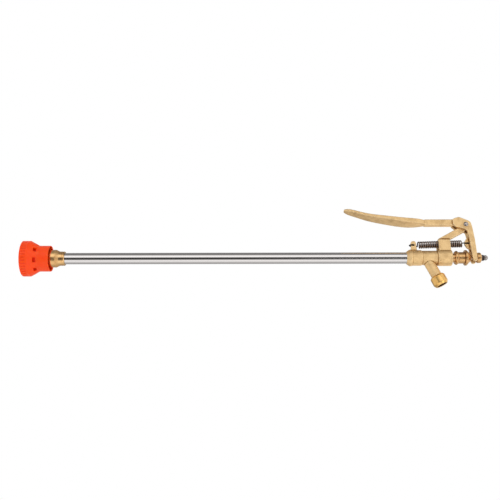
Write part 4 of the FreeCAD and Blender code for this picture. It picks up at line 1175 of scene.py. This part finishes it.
@dataclass
class Studio:
    """White surround, pale floor far below, reflector round the lance, three lamps and the camera.

    Sizes here are metres. The reflector is a cylinder about the X axis that only reflections see,
    as the white sheets and black cards round a polished tube in a photographer's tent. A row of
    its bands has the height, in degrees, of a line from the lance, where 0 is level and to the
    front and 90 straight up, and a brightness, where 1 is the white of the surround. A row of the
    lamps has the name, the place, the target, the side and the power in watts.
    """

    centre_x: float = -0.1997
    centre_rise: float = 0.0106
    distance: float = 0.960
    elevation: float = -22.0
    roll: float = 0.116
    lens: float = 54.0
    diffuse_light: float = 0.95
    floor_colour: str = "#FAFAF9"
    floor_drop: float = 0.95
    floor_size: float = 60.0
    reflector_radius: float = 0.85
    reflector_middle: float = -0.16
    reflector_half_width: float = 0.54
    reflector_fade: float = 0.16
    left_level: float = 0.95
    right_level: float = 0.5
    bands: tuple[tuple[float, float], ...] = (
        (-180.0, 0.4), (-160.0, 0.5), (-145.0, 0.45), (-115.0, 0.6), (-95.0, 0.95),
        (-62.0, 1.25), (-46.0, 0.5), (-38.0, 0.05), (-9.0, 0.04), (2.0, 0.8), (10.0, 1.35),
        (30.0, 1.35), (45.0, 0.7), (56.0, 0.27), (95.0, 0.25), (120.0, 0.35), (140.0, 0.55),
        (165.0, 0.35),
    )
    lamp_spread: float = 60.0
    lamps: tuple[tuple[str, Corner, Corner, float, float], ...] = (
        ("key_below", (0.4, -1.3, -0.75), (0.0, 0.0, 0.0), 0.6, 0.56),
        ("rim_below", (0.78, -0.62, -0.66), (0.04, 0.0, -0.03), 0.5, 0.12),
        ("fill_behind", (0.5, 1.2, -0.75), (0.0, 0.0, 0.03), 0.6, 0.3),
    )

    def build(self) -> None:
        """Builds the whole studio."""
        self.build_camera()
        self.build_world()
        self.build_floor()
        self.build_reflector()
        self.build_lamps()
        bpy.context.scene.view_settings.view_transform = "Standard"

    def build_camera(self) -> None:
        """Camera on the photograph's own line of sight, turned by its slight roll."""
        lean = math.radians(self.elevation)
        forward = Vector((0.0, math.cos(lean), -math.sin(lean)))
        up = Vector((0.0, math.sin(lean), math.cos(lean)))
        camera = bpy.data.cameras.new("camera")
        camera.lens = self.lens
        camera.sensor_width = 36.0
        camera.clip_start, camera.clip_end = 0.01, 50.0
        eye = new_object("camera", camera)
        target = Vector((self.centre_x, 0.0, 0.0)) + up * self.centre_rise
        up.rotate(Matrix.Rotation(math.radians(self.roll), 3, forward))
        right = forward.cross(up)
        eye.matrix_world = Matrix((right, up, -forward)).transposed().to_4x4()
        eye.location = target - forward * self.distance
        bpy.context.scene.camera = eye

    def build_lamps(self) -> None:
        """Square soft lamps, their -Z towards their targets."""
        for name, place, target, side, power in self.lamps:
            light = bpy.data.lights.new(name, "AREA")
            light.shape = "RECTANGLE"
            light.size = light.size_y = side
            light.energy = power
            light.spread = math.radians(self.lamp_spread)
            lamp = new_object(name, light)
            lamp.location = place
            way = Vector(target) - Vector(place)
            lamp.rotation_euler = way.to_track_quat("-Z", "Y").to_euler()

    def build_world(self) -> None:
        """Even white all round, at strength 1 for the camera, reflections and what shows through.

        The other rays, which light the lance, get the diffuse light's strength.
        """
        world = bpy.data.worlds.new("studio")
        bpy.context.scene.world = world
        world.use_nodes = True
        graph = Graph(world.node_tree, "World")
        rays = [graph.add("LightPath", {}, f"Is {kind} Ray")
                for kind in ("Camera", "Glossy", "Transmission")]
        seen = graph.greatest(*rays)
        light, white = (
            graph.add("Background", {"Color": (1.0, 1.0, 1.0, 1.0), "Strength": strength})
            for strength in (self.diffuse_light, 1.0))
        mixed = graph.add("MixShader", {0: seen, 1: light, 2: white})
        graph.finish(mixed)

    def build_floor(self) -> None:
        """Pale floor, as far below the lance as below a hand that holds it."""
        half = self.floor_size / 2
        mesh = bpy.data.meshes.new("floor")
        mesh.from_pydata([(-half, -half, 0.0), (half, -half, 0.0), (half, half, 0.0),
                          (-half, half, 0.0)], [], [(0, 1, 2, 3)])
        mesh.materials.append(new_material("pale_floor_paint", lambda graph: graph.add(
            "BsdfDiffuse", {"Color": linear(self.floor_colour)})))
        floor = new_object("floor", mesh)
        floor.location = (self.centre_x, 0.0, -self.floor_drop)

    def build_reflector(self) -> None:
        """Reflector: P(a, x) = (x, -R cos a, R sin a), which only reflections see."""
        reach = self.reflector_half_width + self.reflector_fade
        x = self.reflector_middle + np.linspace(-reach, reach, 9)[None, :]
        angle = np.linspace(0.0, 2 * np.pi, 96, endpoint=False)[:, None]
        ring = self.reflector_radius * np.stack([0 * angle, -np.cos(angle), np.sin(angle)], -1)
        grid = ring + np.stack([x, 0 * x, 0 * x], -1)
        sheet = grid_surface(grid, True, False)
        mesh = bpy.data.meshes.new("reflector")
        mesh.from_pydata(sheet.points.tolist(), [], sheet.quads.tolist())
        mesh.materials.append(new_material("reflector_bands", self.glowing_bands))
        reflector = new_object("reflector", mesh)
        for rays in ("camera", "diffuse", "shadow", "transmission"):
            setattr(reflector, "visible_" + rays, False)

    def glowing_bands(self, graph: Graph) -> Socket:
        """Glow of the reflector: its bands by the height atan2(z, -y), and even at both ends.

        Outside the half width the bands fade to a level that runs from left to right.

        Args:
            graph: The material's graph.

        Returns:
            The shader.
        """
        parts = graph.add("SeparateXYZ", {0: graph.place()}).node.outputs
        height = graph.maths("ARCTAN2", parts["Z"], graph.maths("MULTIPLY", parts["Y"], -1.0))
        ramp = graph.add("ValToRGB", {0: graph.ranged(height, -math.pi, math.pi)})
        stops = ramp.node.color_ramp.elements
        while len(stops) < len(self.bands):
            stops.new(0.5)
        peak = max(level for _, level in self.bands)
        for stop, (degrees, level) in zip(stops, self.bands):
            stop.position = (degrees + 180.0) / 360.0
            stop.color = (level / peak, level / peak, level / peak, 1.0)
        half = self.reflector_half_width
        offset = graph.maths("SUBTRACT", parts["X"], self.reflector_middle)
        ends = graph.ranged(graph.maths("ABSOLUTE", offset), half, half + self.reflector_fade,
                            interpolation="SMOOTHSTEP")
        level = graph.ranged(offset, -half, half, self.left_level / peak, self.right_level / peak)
        tone = graph.mixed(ends, ramp, level)
        return graph.add("Emission", {"Color": tone, "Strength": peak})


def dress_plain_nodes(nodes: dict[str, bpy.types.Object]) -> None:
    """Gives the sealed inner solids, which keep their own shape, their finishes.

    Args:
        nodes: All the solids by name.
    """
    for name, finish in (
        ("front_tube_seal", RUBBER), ("rear_tube_seal", RUBBER), ("nozzle_seal", RUBBER),
        ("inlet_seal", RUBBER), ("gland_packing", PACKING), ("gland_follower", TURNED),
        ("needle_plug", TURNED),
    ):
        mesh = nodes[name].data
        mesh.materials.clear()
        mesh.materials.append(finish.material())
        LOG.info("%s keeps its solid", name)


def main() -> None:
    """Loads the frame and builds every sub-assembly in order."""
    logging.basicConfig(level=logging.INFO, format="%(message)s")
    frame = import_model()
    nodes = frame["nodes"]
    Studio().build()
    dress_plain_nodes(nodes)
    for group in (SprayHead, TubeRun, Valve, LeverGroup, RodGroup):
        group(nodes).build()
    ReturnSpring().build()


if __name__ == "__main__":
    main()
